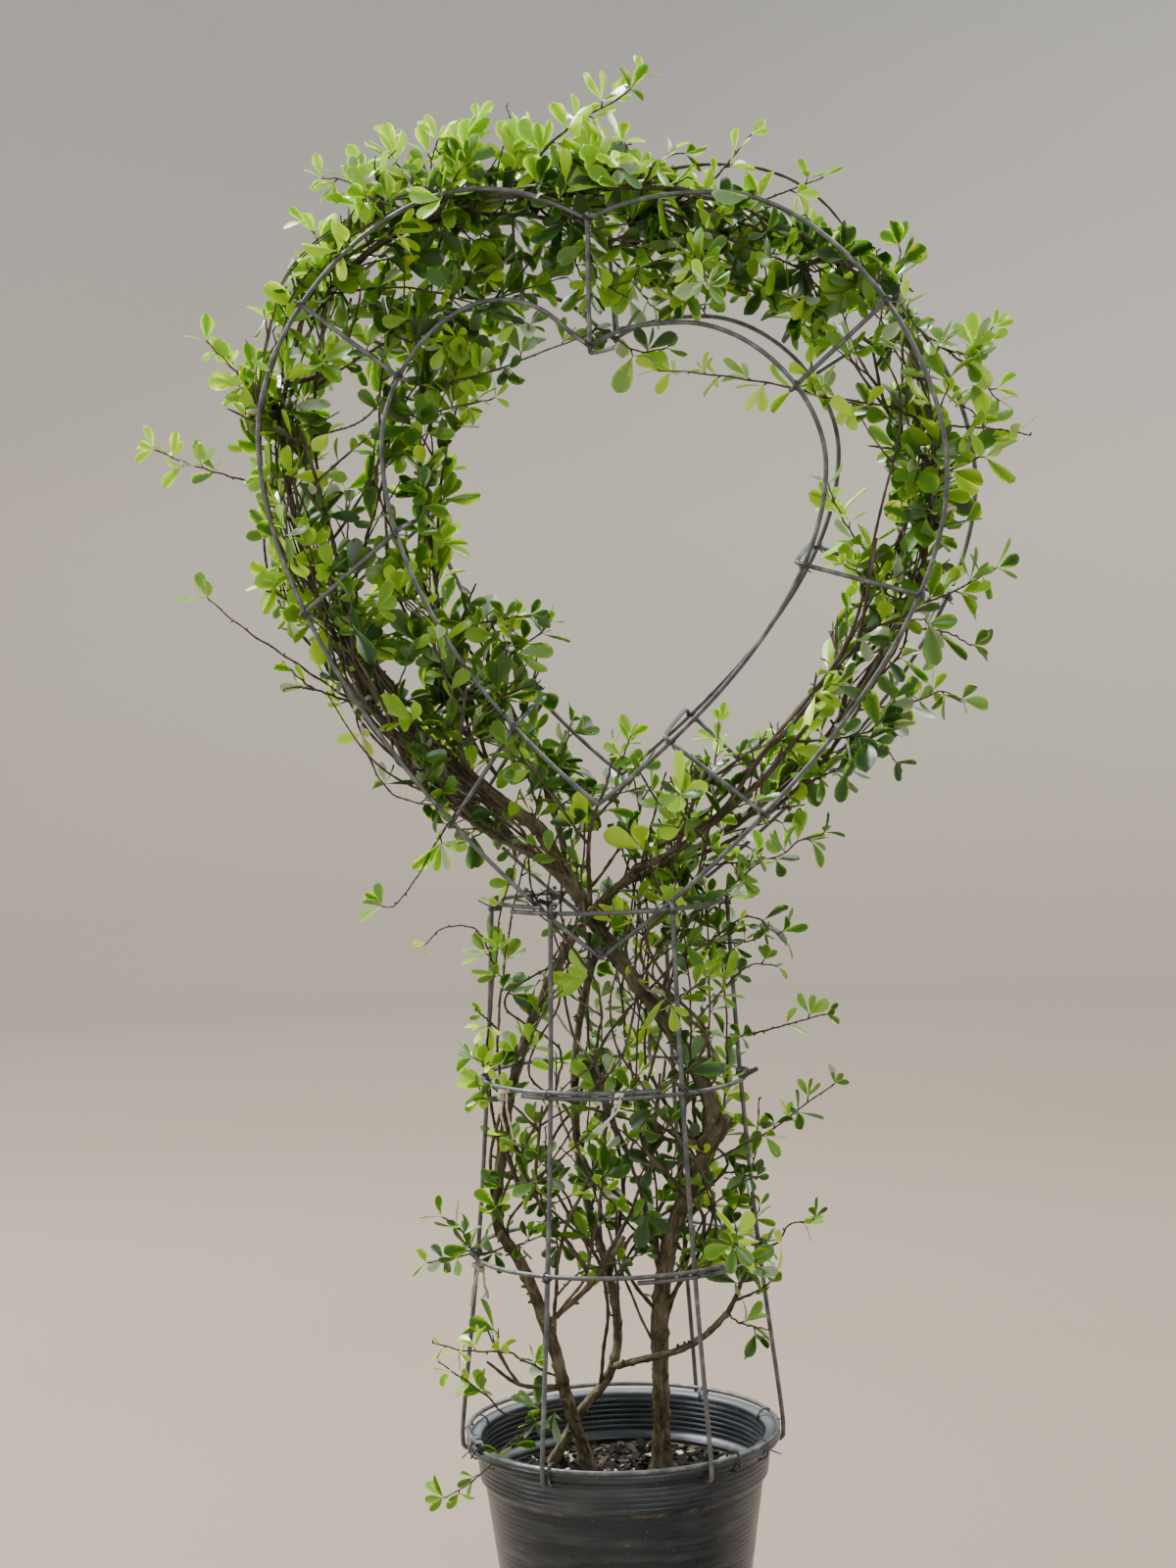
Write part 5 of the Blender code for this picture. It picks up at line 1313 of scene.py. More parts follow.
def led_shoot(thick, tip_depth, route, limb_places, chance):
    """A shoot from the limb nearest its first pixel, through its other pixels, thinning to its tip.

    Its depth goes from its root's to its tip's on a smooth rise along its way.
    """
    route = np.reshape(route, (-1, 2)).astype(float)
    root = limb_places[np.linalg.norm(pixels_of(limb_places) - route[0], axis=1).argmin()]
    root_depth = root[1] + tilt_forward(root[2])
    travelled = np.cumsum(np.linalg.norm(np.diff(route, axis=0), axis=1))
    depth = root_depth + (tip_depth - root_depth) * eased(travelled / travelled[-1])
    path = smooth_run(np.vstack([root, seen_at(route[1:], depth)]), 0.004)
    path = along(path, np.linspace(0, 1, SHOOT_RINGS))[0]
    joints = np.linspace(0, chance.uniform(*SHOOT_BENDS), SHOOT_RINGS)[:, None]
    path[1:] += (SHOOT_ZIGZAG * np.sin(joints) * (1, 0.4, 0.7))[1:]
    return np.column_stack([path, np.linspace(thick / 2000, SHOOT_TIP, SHOOT_RINGS)])


limb_places = np.vstack([run[::3, :3] for run in STEMS.values()] + [whips[:, ::2, :3].reshape(-1, 3)])
shoots, shoot_leafiness = [], []
for thick, tip_depth, leafiness, *route in LED_SHOOTS:
    shoots.append(led_shoot(thick, tip_depth, route, limb_places, whip_chance))
    shoot_leafiness.append(leafiness)
    limb_places = np.vstack([limb_places, shoots[-1][4::3, :3]])
shoots = np.stack(shoots)

whip_bark = Finish("whip_bark", roughness=0.8, specular=0.3)
whip_grain = whip_bark.noise(1.0, detail=4.0, stretch=(500, 60, 1), along=True)
whip_patches = whip_bark.noise(40, detail=3.0)
weathering = whip_bark.ramp(whip_patches, [(0.46, 0.0), (0.70, 0.65)])
whip_bark.set("Base Color", whip_bark.mix(weathering, whip_bark.ramp(whip_grain, WHIP_BROWNS), WHIP_PALE))
for name, paths in (("trained_whips", whips), ("led_shoots", shoots)):
    knobs = 1 + WHIP_KNOB * (np.arange(paths.shape[1]) % 2)[None]
    piece = tubes(name, paths[..., :3], paths[..., 3] * knobs, WHIP_SIDES, whip_bark.material)
    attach(piece, "root")

# The ties: pale twine, white string and a frayed strip of rag that hold the whips to the frame, each a few
# loose turns with hanging ends, a tangle of thin black wire, and the two ends of the middle ring. A row is a
# knot's middle, its axis, its half width and the way of its end, or a loose end alone.
KNOT_RINGS = 48
KNOT_SIDES = 6
KNOT_TURNS = 2
KNOT_ACROSS = (0.2, 1, 0.1)
STRAND_TWIST = 0.28
TIES = {
    "twine": {"colour": (0.50, 0.44, 0.33), "radius": 0.0011, "knots": [
        ((-0.090, -0.092, 0.611), (0, 0, 1), 0.006, [(-0.088, -0.096, 0.596), (-0.083, -0.092, 0.566)]),
        ((-0.094, -0.090, 0.606), (1, 0, 0), 0.005, [(-0.094, -0.094, 0.590), (-0.091, -0.090, 0.574)]),
        ((-0.297, -0.052, 1.154), (0.3, 0, 1), 0.012, [(-0.283, -0.066, 1.150), (-0.276, -0.066, 1.141)]),
        ((-0.222, -0.052, 0.972), (-0.6, 0, 0.8), 0.012, [(-0.221, -0.066, 0.952), (-0.217, -0.060, 0.922)]),
        ((-0.306, -0.105, 1.243), (0.1, 0, 1), 0.005, [(-0.312, -0.112, 1.236), (-0.309, -0.112, 1.226)]),
        ((0.325, -0.050, 1.135), (-0.1, 0, 1), 0.011, [(0.314, -0.064, 1.131), (0.309, -0.064, 1.136)]),
        ((0.227, -0.050, 0.936), (0.7, 0, 0.7), 0.010, [(0.232, -0.062, 0.922), (0.235, -0.058, 0.900)]),
    ]},
    "white_string": {"colour": (0.66, 0.64, 0.58), "radius": 0.0011, "knots": [
        ((0.021, -0.127, 0.612), (0, 0.3, 1), 0.004,
         [(0.021, -0.131, 0.602), (0.018, -0.131, 0.597), (0.012, -0.132, 0.591), (0.009, -0.130, 0.585),
          (0.001, -0.128, 0.579)]),
        ((0.020, -0.129, 0.606), (0.3, 0, 1), 0.003,
         [(0.016, -0.133, 0.600), (0.014, -0.130, 0.593), (0.008, -0.132, 0.588), (0.003, -0.131, 0.580)]),
        (None, None, 0, [(0.009, -0.131, 0.587), (0.003, -0.132, 0.584), (-0.003, -0.130, 0.580)]),
        (None, None, 0, [(0.008, -0.130, 0.586), (0.004, -0.129, 0.579), (0.002, -0.130, 0.574)]),
    ]},
    "rag": {"colour": (0.400, 0.360, 0.300), "radius": 0.0012, "knots": [
        ((-0.128, -0.052, 0.440), (0, 0, 1), 0.006,
         [(-0.127, -0.057, 0.432), (-0.130, -0.057, 0.418), (-0.135, -0.055, 0.402)]),
        ((-0.125, -0.054, 0.437), (1, 0, 1), 0.005,
         [(-0.121, -0.057, 0.433), (-0.1205, -0.058, 0.421), (-0.1185, -0.057, 0.416),
          (-0.122, -0.056, 0.410)]),
        (None, None, 0, [(-0.1205, -0.058, 0.421), (-0.1180, -0.057, 0.415), (-0.1180, -0.056, 0.409)]),
        (None, None, 0, [(-0.1265, -0.057, 0.434), (-0.1315, -0.058, 0.419), (-0.1335, -0.056, 0.403)]),
    ]},
    "black_wire": {"colour": (0.016, 0.016, 0.018), "radius": 0.0007, "knots": [
        ((-0.060, -0.078, 0.788), (1, 0, 0.3), 0.009, [(-0.046, -0.090, 0.797), (-0.034, -0.086, 0.786)]),
        ((-0.050, -0.078, 0.784), (0.6, 0, 1), 0.007, [(-0.040, -0.088, 0.778), (-0.030, -0.086, 0.792)]),
        ((-0.118, -0.118, 0.283), (1, 0.6, 0), 0.006, [(-0.126, -0.126, 0.276), (-0.120, -0.130, 0.284)]),
    ]},
    "ring_ends": {"colour": (0.10, 0.105, 0.11), "radius": WIRE_SHOWN, "knots": [
        (None, None, 0, [(-0.1225, -0.020, 0.611), (-0.129, -0.026, 0.612), (-0.131, -0.020, 0.613)]),
        (None, None, 0, [(0.122, -0.022, 0.611), (0.130, -0.019, 0.615), (0.138, -0.016, 0.619)]),
    ]},
}
for tie_name, tie in TIES.items():
    tie_paths = []
    for middle, axis, half, ends in tie["knots"]:
        path = np.array(ends, float)
        if middle is not None:
            coil = binding(np.array(middle), axis, KNOT_ACROSS, half, 0.8 * half, KNOT_TURNS)
            path = np.vstack([coil[:-TAIL_STEPS], path])
        tie_paths.append(along(path, np.linspace(0, 1, KNOT_RINGS))[0])
    tie_paths = np.stack(tie_paths)
    tie_finish = Finish(tie_name, roughness=0.85, specular=0.3, colour=tie["colour"])
    twist = 1 + STRAND_TWIST * np.sin(np.arange(KNOT_RINGS) * 1.9)
    radii = tie["radius"] * np.broadcast_to(twist, tie_paths.shape[:2])
    piece = tubes(tie_name, tie_paths, radii, KNOT_SIDES, tie_finish.material)
    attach(piece, "root")

# The foliage masses: from each mass's own stem, and from the whips and led shoots that pass through its
# space, twigs branch by the golden angle, finer side twigs come off them, and short spurs at their joints
# carry rosettes of leaves. Twigs and leaves keep to the room that the photograph shows them fill.
MASS_REACH = 0.125
MASS_STEM_RADII = (0.0026, 0.0012)
MASS_STEM_KNOB = 0.2
GOLDEN_ANGLE = math.pi * (3 - math.sqrt(5))
AZIMUTH_STRAY = 0.25
TWIGS_FROM, TWIGS_SPAN = 0.12, 0.86
TWIG_SPREAD = math.radians(52)
TWIG_SPREADS = (0.75, 1.2)
TWIG_LENGTH = (0.050, 0.090)
TWIG_RADIUS = 0.0014
TWIG_LIFT = 0.12
TWIG_STRAY = 0.10
TWIG_TRIES, TWIG_CUT = 4, 0.7
TWIG_TAPER, TWIG_KNOB = 0.45, 0.35
TWIG_JOINTS = np.arange(0.25, 1.0, 0.16)
TWIG_RINGS, TWIG_SIDES = 9, 5
TWIG_JOG = 0.0004
SHOOT_CHANCE = 0.35
SHOOT_FROM, SHOOT_SPAN, SHOOT_PAIRS_FROM = 0.18, 0.80, 0.6
SHOOT_ANGLES, SHOOT_TIP_ANGLES = (0.7, 1.1), (0.2, 0.6)
SHOOT_TAPER = 0.35
SHOOT_TONE_SPREAD = 0.15
SIDE_TWIG_CHANCE = 0.4
SIDE_TWIG_LENGTH = (0.020, 0.050)
SIDE_TWIG_RADIUS = 0.0010
SIDE_TWIG_ANGLES = (0.5, 1.0)
SIDE_TWIG_OUTWARD = 0.40
SIDE_TWIG_LIFT, SIDE_TWIG_RISE = (0, 0, 0.2), (0, 0, 0.06)
SIDE_TWIG_STRAY = 0.14
SIDE_TWIG_JOINTS = (0.4, 0.72, 1.0)
STEM_JOINTS = np.arange(0.2, 1.0, 0.16)
SPUR_LENGTH = (0.002, 0.007)
SPUR_RADIUS = 0.0010
SPUR_ANGLES = (0.7, 1.25)
SPUR_OUTWARD, LED_SPUR_INWARD = 0.35, 0.25
SPUR_LIFT = (0, 0, 0.15)
SPUR_RINGS, SPUR_SIDES = 3, 4
STUB_CHANCE = 0.45
STUB_LENGTH = (0.0018, 0.0034)
STUB_RADIUS = 0.0011
STUB_ANGLES = (0.9, 1.4)
JOINT_SPACING = 0.0145
LED_SIZE, LED_TAPER = 0.95, 0.25
LED_TIP_ANGLES = (0.1, 0.5)
ROSETTES = (2, 3, 3, 4, 4, 5)
LEAF_ANGLES = (0.45, 1.15)
LEAF_LIFT = (0, 0, 0.12)
LEAF_STRAY = 0.10
FACE_UP, FACE_OUT, FACE_STRAY = 0.50, 0.45, 0.52
LEAF_LENGTH = (0.024, 0.036)
LEAF_WIDTH = 0.47
LEAF_WIDTHS = (0.84, 1.14)
LEAF_SIZES = (0.78, 1.26)
CAGE_LEAF_SIZES = (0.60, 1.05)
ROOM_SLACK = 0.012
FOLIAGE_SEED = 40
SUN = np.array([-0.50, -0.10, 0.86])
SUN_TONE = 0.40
SPRAY_TONE_SPREAD = 0.30
LEAF_TONE_SPREAD = 0.06
# A mass's tone is painted light and shade: raised for the masses on the crest and shoulders, which are lit,
# and lowered for those in the cage and the inner masses, which lie in shade.
MASS_TERMS = ("carrier", "share", "twigs", "sprays", "tone", "leaf_size", "stem")
MASS_ROWS = {
    "left_low": ("bough_left_front", 0.45, 6, 48, -0.05, (0.70, 1.20),
                 [(-0.125, -0.055, 0.925), (-0.118, -0.052, 0.985)]),
    "left_inner": ("bough_left_inner", None, 8, 64, -0.1, LEAF_SIZES,
                   [(-0.095, 0.020, 0.975), (-0.140, 0.010, 1.040)]),
    "left_mid": ("bough_left_front", None, 4, 38, 0.0, LEAF_SIZES,
                 [(-0.225, -0.035, 1.010), (-0.245, -0.030, 1.090)]),
    "left_high": ("bough_left_mid", None, 7, 70, 0.1, LEAF_SIZES,
                  [(-0.248, -0.014, 1.140), (-0.262, -0.040, 1.225)]),
    "left_shoulder": ("bough_left_outer_high", 0.78, 8, 74, 0.2, LEAF_SIZES,
                      [(-0.240, 0.012, 1.290), (-0.222, 0.016, 1.350)]),
    "top_left": ("bough_top", 0.30, 9, 76, 0.2, LEAF_SIZES,
                 [(-0.165, -0.010, 1.425), (-0.110, -0.002, 1.432)]),
    "top_middle": ("bough_top", 0.68, 6, 54, 0.15, LEAF_SIZES,
                   [(-0.050, -0.015, 1.436), (0.020, -0.010, 1.440)]),
    "top_right": ("bough_top", None, 5, 54, 0.2, LEAF_SIZES,
                  [(0.090, -0.050, 1.424), (0.140, -0.046, 1.412)]),
    "right_shoulder": ("bough_right_top", None, 5, 58, 0.15, LEAF_SIZES,
                       [(0.200, -0.020, 1.382), (0.232, 0.010, 1.360)]),
    "right_high": ("bough_right_outer_high", 0.62, 5, 52, 0.15, LEAF_SIZES,
                   [(0.275, 0.010, 1.225), (0.262, 0.010, 1.280)]),
    "right_mid": ("bough_right_outer_low", 0.80, 5, 37, 0.1, LEAF_SIZES,
                  [(0.246, -0.030, 1.030), (0.262, -0.034, 1.110)]),
    "right_low": ("bough_right_low", None, 4, 38, 0.2, LEAF_SIZES,
                  [(0.185, -0.028, 0.930), (0.222, -0.030, 0.975)]),
    "right_foot": ("bough_right_low", 0.35, 4, 34, 0.1, (0.66, 1.15),
                   [(0.085, -0.045, 0.865), (0.100, -0.050, 0.900)]),
    "junction": ("trunk_right", 0.88, 5, 36, -0.1, CAGE_LEAF_SIZES,
                 [(-0.010, -0.040, 0.845), (0.010, -0.045, 0.895)]),
    "cage_top": ("trunk_right", 0.70, 5, 36, -0.12, (0.61, 1.09),
                 [(0.055, -0.030, 0.705), (0.072, -0.030, 0.745)]),
    "cage_right": ("trunk_right", 0.50, 4, 21, -0.15, (0.61, 1.09),
                   [(0.045, -0.030, 0.560), (0.050, -0.050, 0.620)]),
    "cage_left": ("stem_left", 0.55, 3, 14, 0.0, CAGE_LEAF_SIZES,
                  [(-0.078, -0.045, 0.500), (-0.062, -0.050, 0.590)]),
    "pot_left": ("stem_left", 0.16, 1, 1, 0.05, CAGE_LEAF_SIZES,
                 [(-0.090, -0.050, 0.325), (-0.118, -0.070, 0.352)]),
    "cage_low": ("limb_low_right", None, 3, 9, 0.0, (0.62, 1.10),
                 [(0.118, -0.034, 0.415), (0.122, -0.040, 0.440)]),
}
MASSES = {name: dict(zip(MASS_TERMS, row)) for name, row in MASS_ROWS.items()}
CROWN_MIDDLE = (627, 537)
METRES_PER_PIXEL = 0.000906
CROWN_ROOM = {
    -90: (0.185, 0.900), -75: (0.235, 0.450), -60: (0.240, 0.345), -45: (0.250, 0.320), -30: (0.235, 0.355),
    -15: (0.225, 0.355), 0: (0.270, 0.355), 15: (0.260, 0.360), 30: (0.215, 0.365), 45: (0.240, 0.345),
    60: (0.240, 0.328), 75: (0.200, 0.318), 90: (0.190, 0.340), 105: (0.170, 0.400), 120: (0.185, 0.405),
    135: (0.145, 0.375), 150: (0.170, 0.372), 165: (0.155, 0.362), 180: (0.170, 0.328), 195: (0.150, 0.312),
    210: (0.140, 0.296), 225: (0.122, 0.272), 240: (0.148, 0.300), 255: (0.200, 0.600),
}
CROWN_FOOT = 0.84


def mass_stem(mass):
    """A mass's own stem: on from its carrier's tip, or out of its side at a share of its length."""
    axis = LIMB_AXES[mass["carrier"]]
    root = along(axis, 1.0 if mass["share"] is None else mass["share"])[0][0][:3]
    run = smooth_run(np.vstack([root, with_heart(mass["stem"])]), 0.006)
    return np.column_stack([run, np.linspace(*MASS_STEM_RADII, len(run))])


MASS_STEMS = {name: mass_stem(mass) for name, mass in MASSES.items()}
STEM_POINTS = np.vstack([run[:, :3] for run in MASS_STEMS.values()])
STEM_OWNERS = np.concatenate([np.full(len(run), k) for k, run in enumerate(MASS_STEMS.values())])


def nearest_mass(points):
    """For each point, the number of the mass whose stem is nearest, and how far away that is."""
    distance = np.linalg.norm(points[:, None] - STEM_POINTS[None], axis=2)
    nearest = distance.argmin(axis=1)
    return STEM_OWNERS[nearest], distance[np.arange(len(points)), nearest]


def in_room(points, slack=0.0):
    """True where foliage may be: below the crown, or between its inner and outer outline as seen in front.

    Both outlines are radii about the middle of the crown, read between the bearings of CROWN_ROOM.
    """
    points = np.atleast_2d(points)
    across, up = ((pixels_of(points) - CROWN_MIDDLE) * (1, -1) * METRES_PER_PIXEL).T
    bearing = np.degrees(np.arctan2(up, across))
    stops = np.array(list(CROWN_ROOM))
    edges = np.array(list(CROWN_ROOM.values())).T
    inner, outer = (np.interp(bearing, stops, edge, period=360) for edge in edges)
    radius = np.hypot(across, up)
    return (points[:, 2] < CROWN_FOOT) | ((radius > inner - slack) & (radius < outer + slack))


class Twigs:
    """Twigs as rows: start, heading, bend, length and root radius.

    A twig's path is start + length (t heading + t^2 bend) for t from 0 to 1, with a zigzag at its joints.
    """

    def __init__(self):
        self.rows = []

    def add(self, start, heading, bend, length, radius):
        """Adds a twig and returns its row."""
        self.rows.append(np.concatenate([start, heading, bend, [length, radius]]))
        return self.rows[-1]


def on_twig(twig, share):
    """The place and direction at a share of a twig."""
    start, heading, bend, length = twig[:3], twig[3:6], twig[6:9], twig[9]
    return start + length * (share * heading + share**2 * bend), unit(heading + 2 * share * bend)


def turned_out(ahead, azimuth, spread):
    """A direction at an angle of spread to ahead, at an azimuth round it."""
    side = unit(np.cross(ahead, (0.31, 0.17, 0.93)))
    up = np.cross(side, ahead)
    out = math.cos(azimuth) * side + math.sin(azimuth) * up
    return unit(math.cos(spread) * ahead + math.sin(spread) * out), out


class Mass:
    """One mass of foliage: its twigs, and its leaves as rows of root, heading, face, length, width, tone
    and whether a led shoot carries them."""

    def __init__(self, number, name, settings):
        self.name, self.settings = name, settings
        self.chance = np.random.default_rng(FOLIAGE_SEED + number)
        self.stem = MASS_STEMS[name]
        self.long_twigs, self.short_twigs = Twigs(), Twigs()
        self.leaves = []
        self.azimuth = self.chance.uniform(0, 2 * np.pi)

    def next_azimuth(self):
        """On round by the golden angle, give or take a little."""
        self.azimuth += GOLDEN_ANGLE + self.chance.normal(0, AZIMUTH_STRAY)
        return self.azimuth

    def outward(self, place):
        """Away from the mass's stem."""
        gaps = place - self.stem[:, :3]
        return unit(gaps[np.linalg.norm(gaps, axis=1).argmin()])

    def leaf(self, root, heading, length, tone, out, led=0.0):
        """A leaf that lifts a little and faces partly up, partly out and partly as it happens."""
        heading = unit(heading + self.chance.normal(0, LEAF_STRAY, 3) + LEAF_LIFT)
        face = unit(FACE_UP * UP + FACE_OUT * out + self.chance.normal(0, FACE_STRAY, 3))
        width = length * LEAF_WIDTH * self.chance.uniform(*LEAF_WIDTHS)
        self.leaves.append(np.concatenate([root, heading, face, [length, width, tone, led]]))

    def spray(self, place, ahead, size=1.0, lighter=0.0, led=0.0, spread=SPUR_ANGLES):
        """A short spur with a rosette of two to five leaves of one tone, lighter where it faces the sun."""
        chance = self.chance
        azimuth = self.next_azimuth()
        heading, out = turned_out(ahead, azimuth, chance.uniform(*spread))
        heading = unit(heading + (SPUR_OUTWARD - LED_SPUR_INWARD * led) * self.outward(place) + SPUR_LIFT)
        length = chance.uniform(*SPUR_LENGTH)
        self.short_twigs.add(place, heading, 0.1 * out, length, SPUR_RADIUS)
        tip = place + length * heading
        outside = self.outward(tip)
        # Painted light: the tone rises where the spray faces the sun, on top of the mass's painted light and
        # shade.
        tone = self.settings["tone"] + lighter + SUN_TONE * outside.dot(SUN)
        tone += chance.normal(0, SPRAY_TONE_SPREAD)
        size *= chance.uniform(*self.settings["leaf_size"])
        for k in range(int(chance.choice(ROSETTES))):
            leaf_heading, _ = turned_out(heading, azimuth + k * GOLDEN_ANGLE, chance.uniform(*LEAF_ANGLES))
            leaf_length = size * chance.uniform(*LEAF_LENGTH)
            leaf_tone = tone + chance.normal(0, LEAF_TONE_SPREAD)
            self.leaf(tip, leaf_heading, leaf_length, leaf_tone, 0.6 * outside + 0.5 * out, led)

    def stub(self, place, ahead):
        """The knob that is left where a spur dropped off."""
        heading, out = turned_out(ahead, self.next_azimuth(), self.chance.uniform(*STUB_ANGLES))
        self.short_twigs.add(place, heading, 0 * out, self.chance.uniform(*STUB_LENGTH), STUB_RADIUS)

    def twig(self, root, heading, bend, length, radius):
        """A twig, shortened until its tip keeps to the room, or None."""
        for _ in range(TWIG_TRIES):
            if in_room(root + length * (heading + bend), ROOM_SLACK)[0]:
                return self.long_twigs.add(root, heading, bend, length, radius)
            length *= TWIG_CUT
        return None

    def shoot(self, twig, lighter, size):
        """Single leaves alternate up a shoot, smaller towards its tip, which ends in a small rosette."""
        chance = self.chance
        count = max(3, int(twig[9] / (0.95 * JOINT_SPACING)))
        # The mass's tone brings its painted light and shade.
        tone = self.settings["tone"] + lighter + chance.normal(0, SHOOT_TONE_SPREAD)
        for k in range(count):
            share = SHOOT_FROM + SHOOT_SPAN * k / (count - 1)
            place, ahead = on_twig(twig, share)
            spread = chance.uniform(*(SHOOT_ANGLES if share < 0.9 else SHOOT_TIP_ANGLES))
            for _ in range(1 if share < SHOOT_PAIRS_FROM else 2):
                heading, out = turned_out(ahead, self.next_azimuth(), spread)
                length = size * (1.0 - SHOOT_TAPER * share) * chance.uniform(*LEAF_LENGTH)
                self.leaf(place, heading, length, tone, out)

    def lead(self, run, leafiness):
        """Spurs up a led shoot, leafy at some joints and bare stubs at the others, and a leafy tip."""
        joints = max(2, round(travel(run)[-1] / JOINT_SPACING))
        for k in range(1, joints + 1):
            place, ahead = along(run, min(k / joints, 0.995))
            size = LED_SIZE - LED_TAPER * (k / joints) ** 2
            if self.chance.uniform() < leafiness:
                spread = LED_TIP_ANGLES if k == joints else SPUR_ANGLES
                self.spray(place[0, :3], ahead[0], size, lighter=0.25, led=1.0, spread=spread)
            else:
                self.stub(place[0, :3], ahead[0])

    def grow(self, places, aheads):
        """Twigs up the stem, side twigs, then sprays at the joints of all of them and of the whips."""
        chance, settings = self.chance, self.settings
        joints = []
        for k in range(settings["twigs"]):
            place, ahead = along(self.stem, TWIGS_FROM + TWIGS_SPAN * (k + 0.5) / settings["twigs"])
            azimuth, spread = self.next_azimuth(), TWIG_SPREAD * chance.uniform(*TWIG_SPREADS)
            heading, _ = turned_out(ahead[0], azimuth, spread)
            bend = TWIG_LIFT * UP + chance.normal(0, TWIG_STRAY, 3)
            twig = self.twig(place[0, :3], heading, bend, chance.uniform(*TWIG_LENGTH), TWIG_RADIUS)
            if twig is None:
                continue
            if chance.uniform() < SHOOT_CHANCE:
                self.shoot(twig, lighter=0.2, size=0.9)
            else:
                joints += [on_twig(twig, share) for share in TWIG_JOINTS]
        side_roots = [joint for joint in joints if chance.uniform() < SIDE_TWIG_CHANCE]
        picked = chance.permutation(len(places))[: settings["sprays"] // 2]
        side_roots += [(places[k], aheads[k]) for k in picked]
        for place, ahead in side_roots:
            heading, _ = turned_out(ahead, self.next_azimuth(), chance.uniform(*SIDE_TWIG_ANGLES))
            heading = unit(heading + SIDE_TWIG_OUTWARD * self.outward(place) + SIDE_TWIG_LIFT)
            bend = chance.normal(0, SIDE_TWIG_STRAY, 3) + SIDE_TWIG_RISE
            twig = self.twig(place, heading, bend, chance.uniform(*SIDE_TWIG_LENGTH), SIDE_TWIG_RADIUS)
            if twig is not None:
                joints += [on_twig(twig, share) for share in SIDE_TWIG_JOINTS]
        stem_joints = [along(self.stem, share) for share in STEM_JOINTS]
        joints += [(place[0, :3], ahead[0]) for place, ahead in stem_joints]
        rest = chance.permutation(len(places))[: settings["sprays"] // 3]
        joints += [(places[k], aheads[k]) for k in rest]
        for k in chance.permutation(len(joints))[: settings["sprays"]]:
            self.spray(*joints[k])
        for place, ahead in zip(places, aheads):
            if chance.uniform() < STUB_CHANCE:
                self.stub(place, ahead)


whip_places = whips[:, 5::2, :3].reshape(-1, 3)
whip_aheads = unit(np.gradient(whips[..., :3], axis=1))[:, 5::2].reshape(-1, 3)
bough_runs = [run[run[:, 2] > 0.80] for run in STEMS.values()]
bough_runs = [run[::5, :3] for run in bough_runs if len(run) > 20]
whip_places = np.vstack([whip_places, *bough_runs])
whip_aheads = np.vstack([whip_aheads, *[unit(np.gradient(run, axis=0)) for run in bough_runs]])
owners, distances = nearest_mass(whip_places)
masses = [Mass(number, name, settings) for number, (name, settings) in enumerate(MASSES.items())]
for number, mass in enumerate(masses):
    mine = (owners == number) & (distances < 0.9 * MASS_REACH) & in_room(whip_places)
    mass.grow(whip_places[mine], whip_aheads[mine])
shoot_owners, _ = nearest_mass(shoots[:, SHOOT_RINGS // 2, :3])
for owner, run, leafiness in zip(shoot_owners, shoots, shoot_leafiness):
    masses[owner].lead(run, leafiness)


def twig_mesh(mass):
    """The tubes of a mass: its stem, its twigs with a knob at every joint, and its spurs."""
    groups = []
    kinds = (mass.long_twigs, TWIG_RINGS, TWIG_SIDES), (mass.short_twigs, SPUR_RINGS, SPUR_SIDES)
    for twigs, rings, sides in kinds:
        rows = np.array(twigs.rows)
        t = np.linspace(0, 1, rings)[None, :, None]
        start, heading, bend = rows[:, None, :3], rows[:, None, 3:6], rows[:, None, 6:9]
        length, radius = rows[:, None, 9:10], rows[:, 10:11]
        knobbly = rings > SPUR_RINGS
        aside = unit(np.cross(heading, bend + (0.2, 0.1, 0)))
        jog = TWIG_JOG * (-1.0) ** np.arange(rings)[None, :, None] * aside
        paths = start + length * (t * heading + t**2 * bend) + jog * (t > 0) * knobbly
        radii = radius * (1 - TWIG_TAPER * t[..., 0]) * (1 + TWIG_KNOB * (np.arange(rings) % 2) * knobbly)
        groups.append((paths, radii, sides))
    stem = mass.stem
    stem_radii = stem[:, 3] * (1 + MASS_STEM_KNOB * (np.arange(len(stem)) % 2))
    groups.append((stem[None, :, :3], stem_radii[None], WHIP_SIDES))
    corners, quads, tris, shift = [], [], [], 0
    for paths, radii, sides in groups:
        grid, (walls, ends), _ = tube_grid(paths, radii, sides)
        corners.append(grid)
        quads.append(walls + shift)
        tris.append(ends + shift)
        shift += len(grid)
    return np.vstack(corners), [np.vstack(quads), np.vstack(tris)]


for mass in masses:
    corners, faces = twig_mesh(mass)
    piece = surface(f"{mass.name}_twigs", corners, faces, whip_bark.material)
    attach(piece, "root")
    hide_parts(f"foliage_{mass.name}")

# The leaves: small glossy leathery blades, narrow at the foot and widest past the middle, with two to five
# blunt teeth or a notch at the tip, and thin enough that the light shines through them. Each spray is of one
# tone from dark green to yellow-green: lighter on the young shoots, painted lighter where it faces the sun,
# and painted darker in the shaded masses. A few leaves at random are painted pale grey-green, a painted
# sheen.
LEAF_ROWS = np.array([0.0, 0.08, 0.22, 0.38, 0.55, 0.71, 0.85, 0.945])
LEAF_HALF_WIDTHS = np.array([0.04, 0.07, 0.32, 0.64, 0.90, 1.0, 0.87, 0.56])
LEAF_COLUMNS = np.array([-1.0, -0.5, 0.0, 0.5, 1.0])
LEAF_TIPS = np.array([
    (0.0, 0.040, 0.055, 0.040, 0.0), (0.0, 0.048, 0.018, 0.048, 0.0), (0.0, 0.020, 0.070, 0.030, 0.0),
])
LEAF_THICKNESS = 0.00045
LEAF_FOLD = (0.05, 0.38)
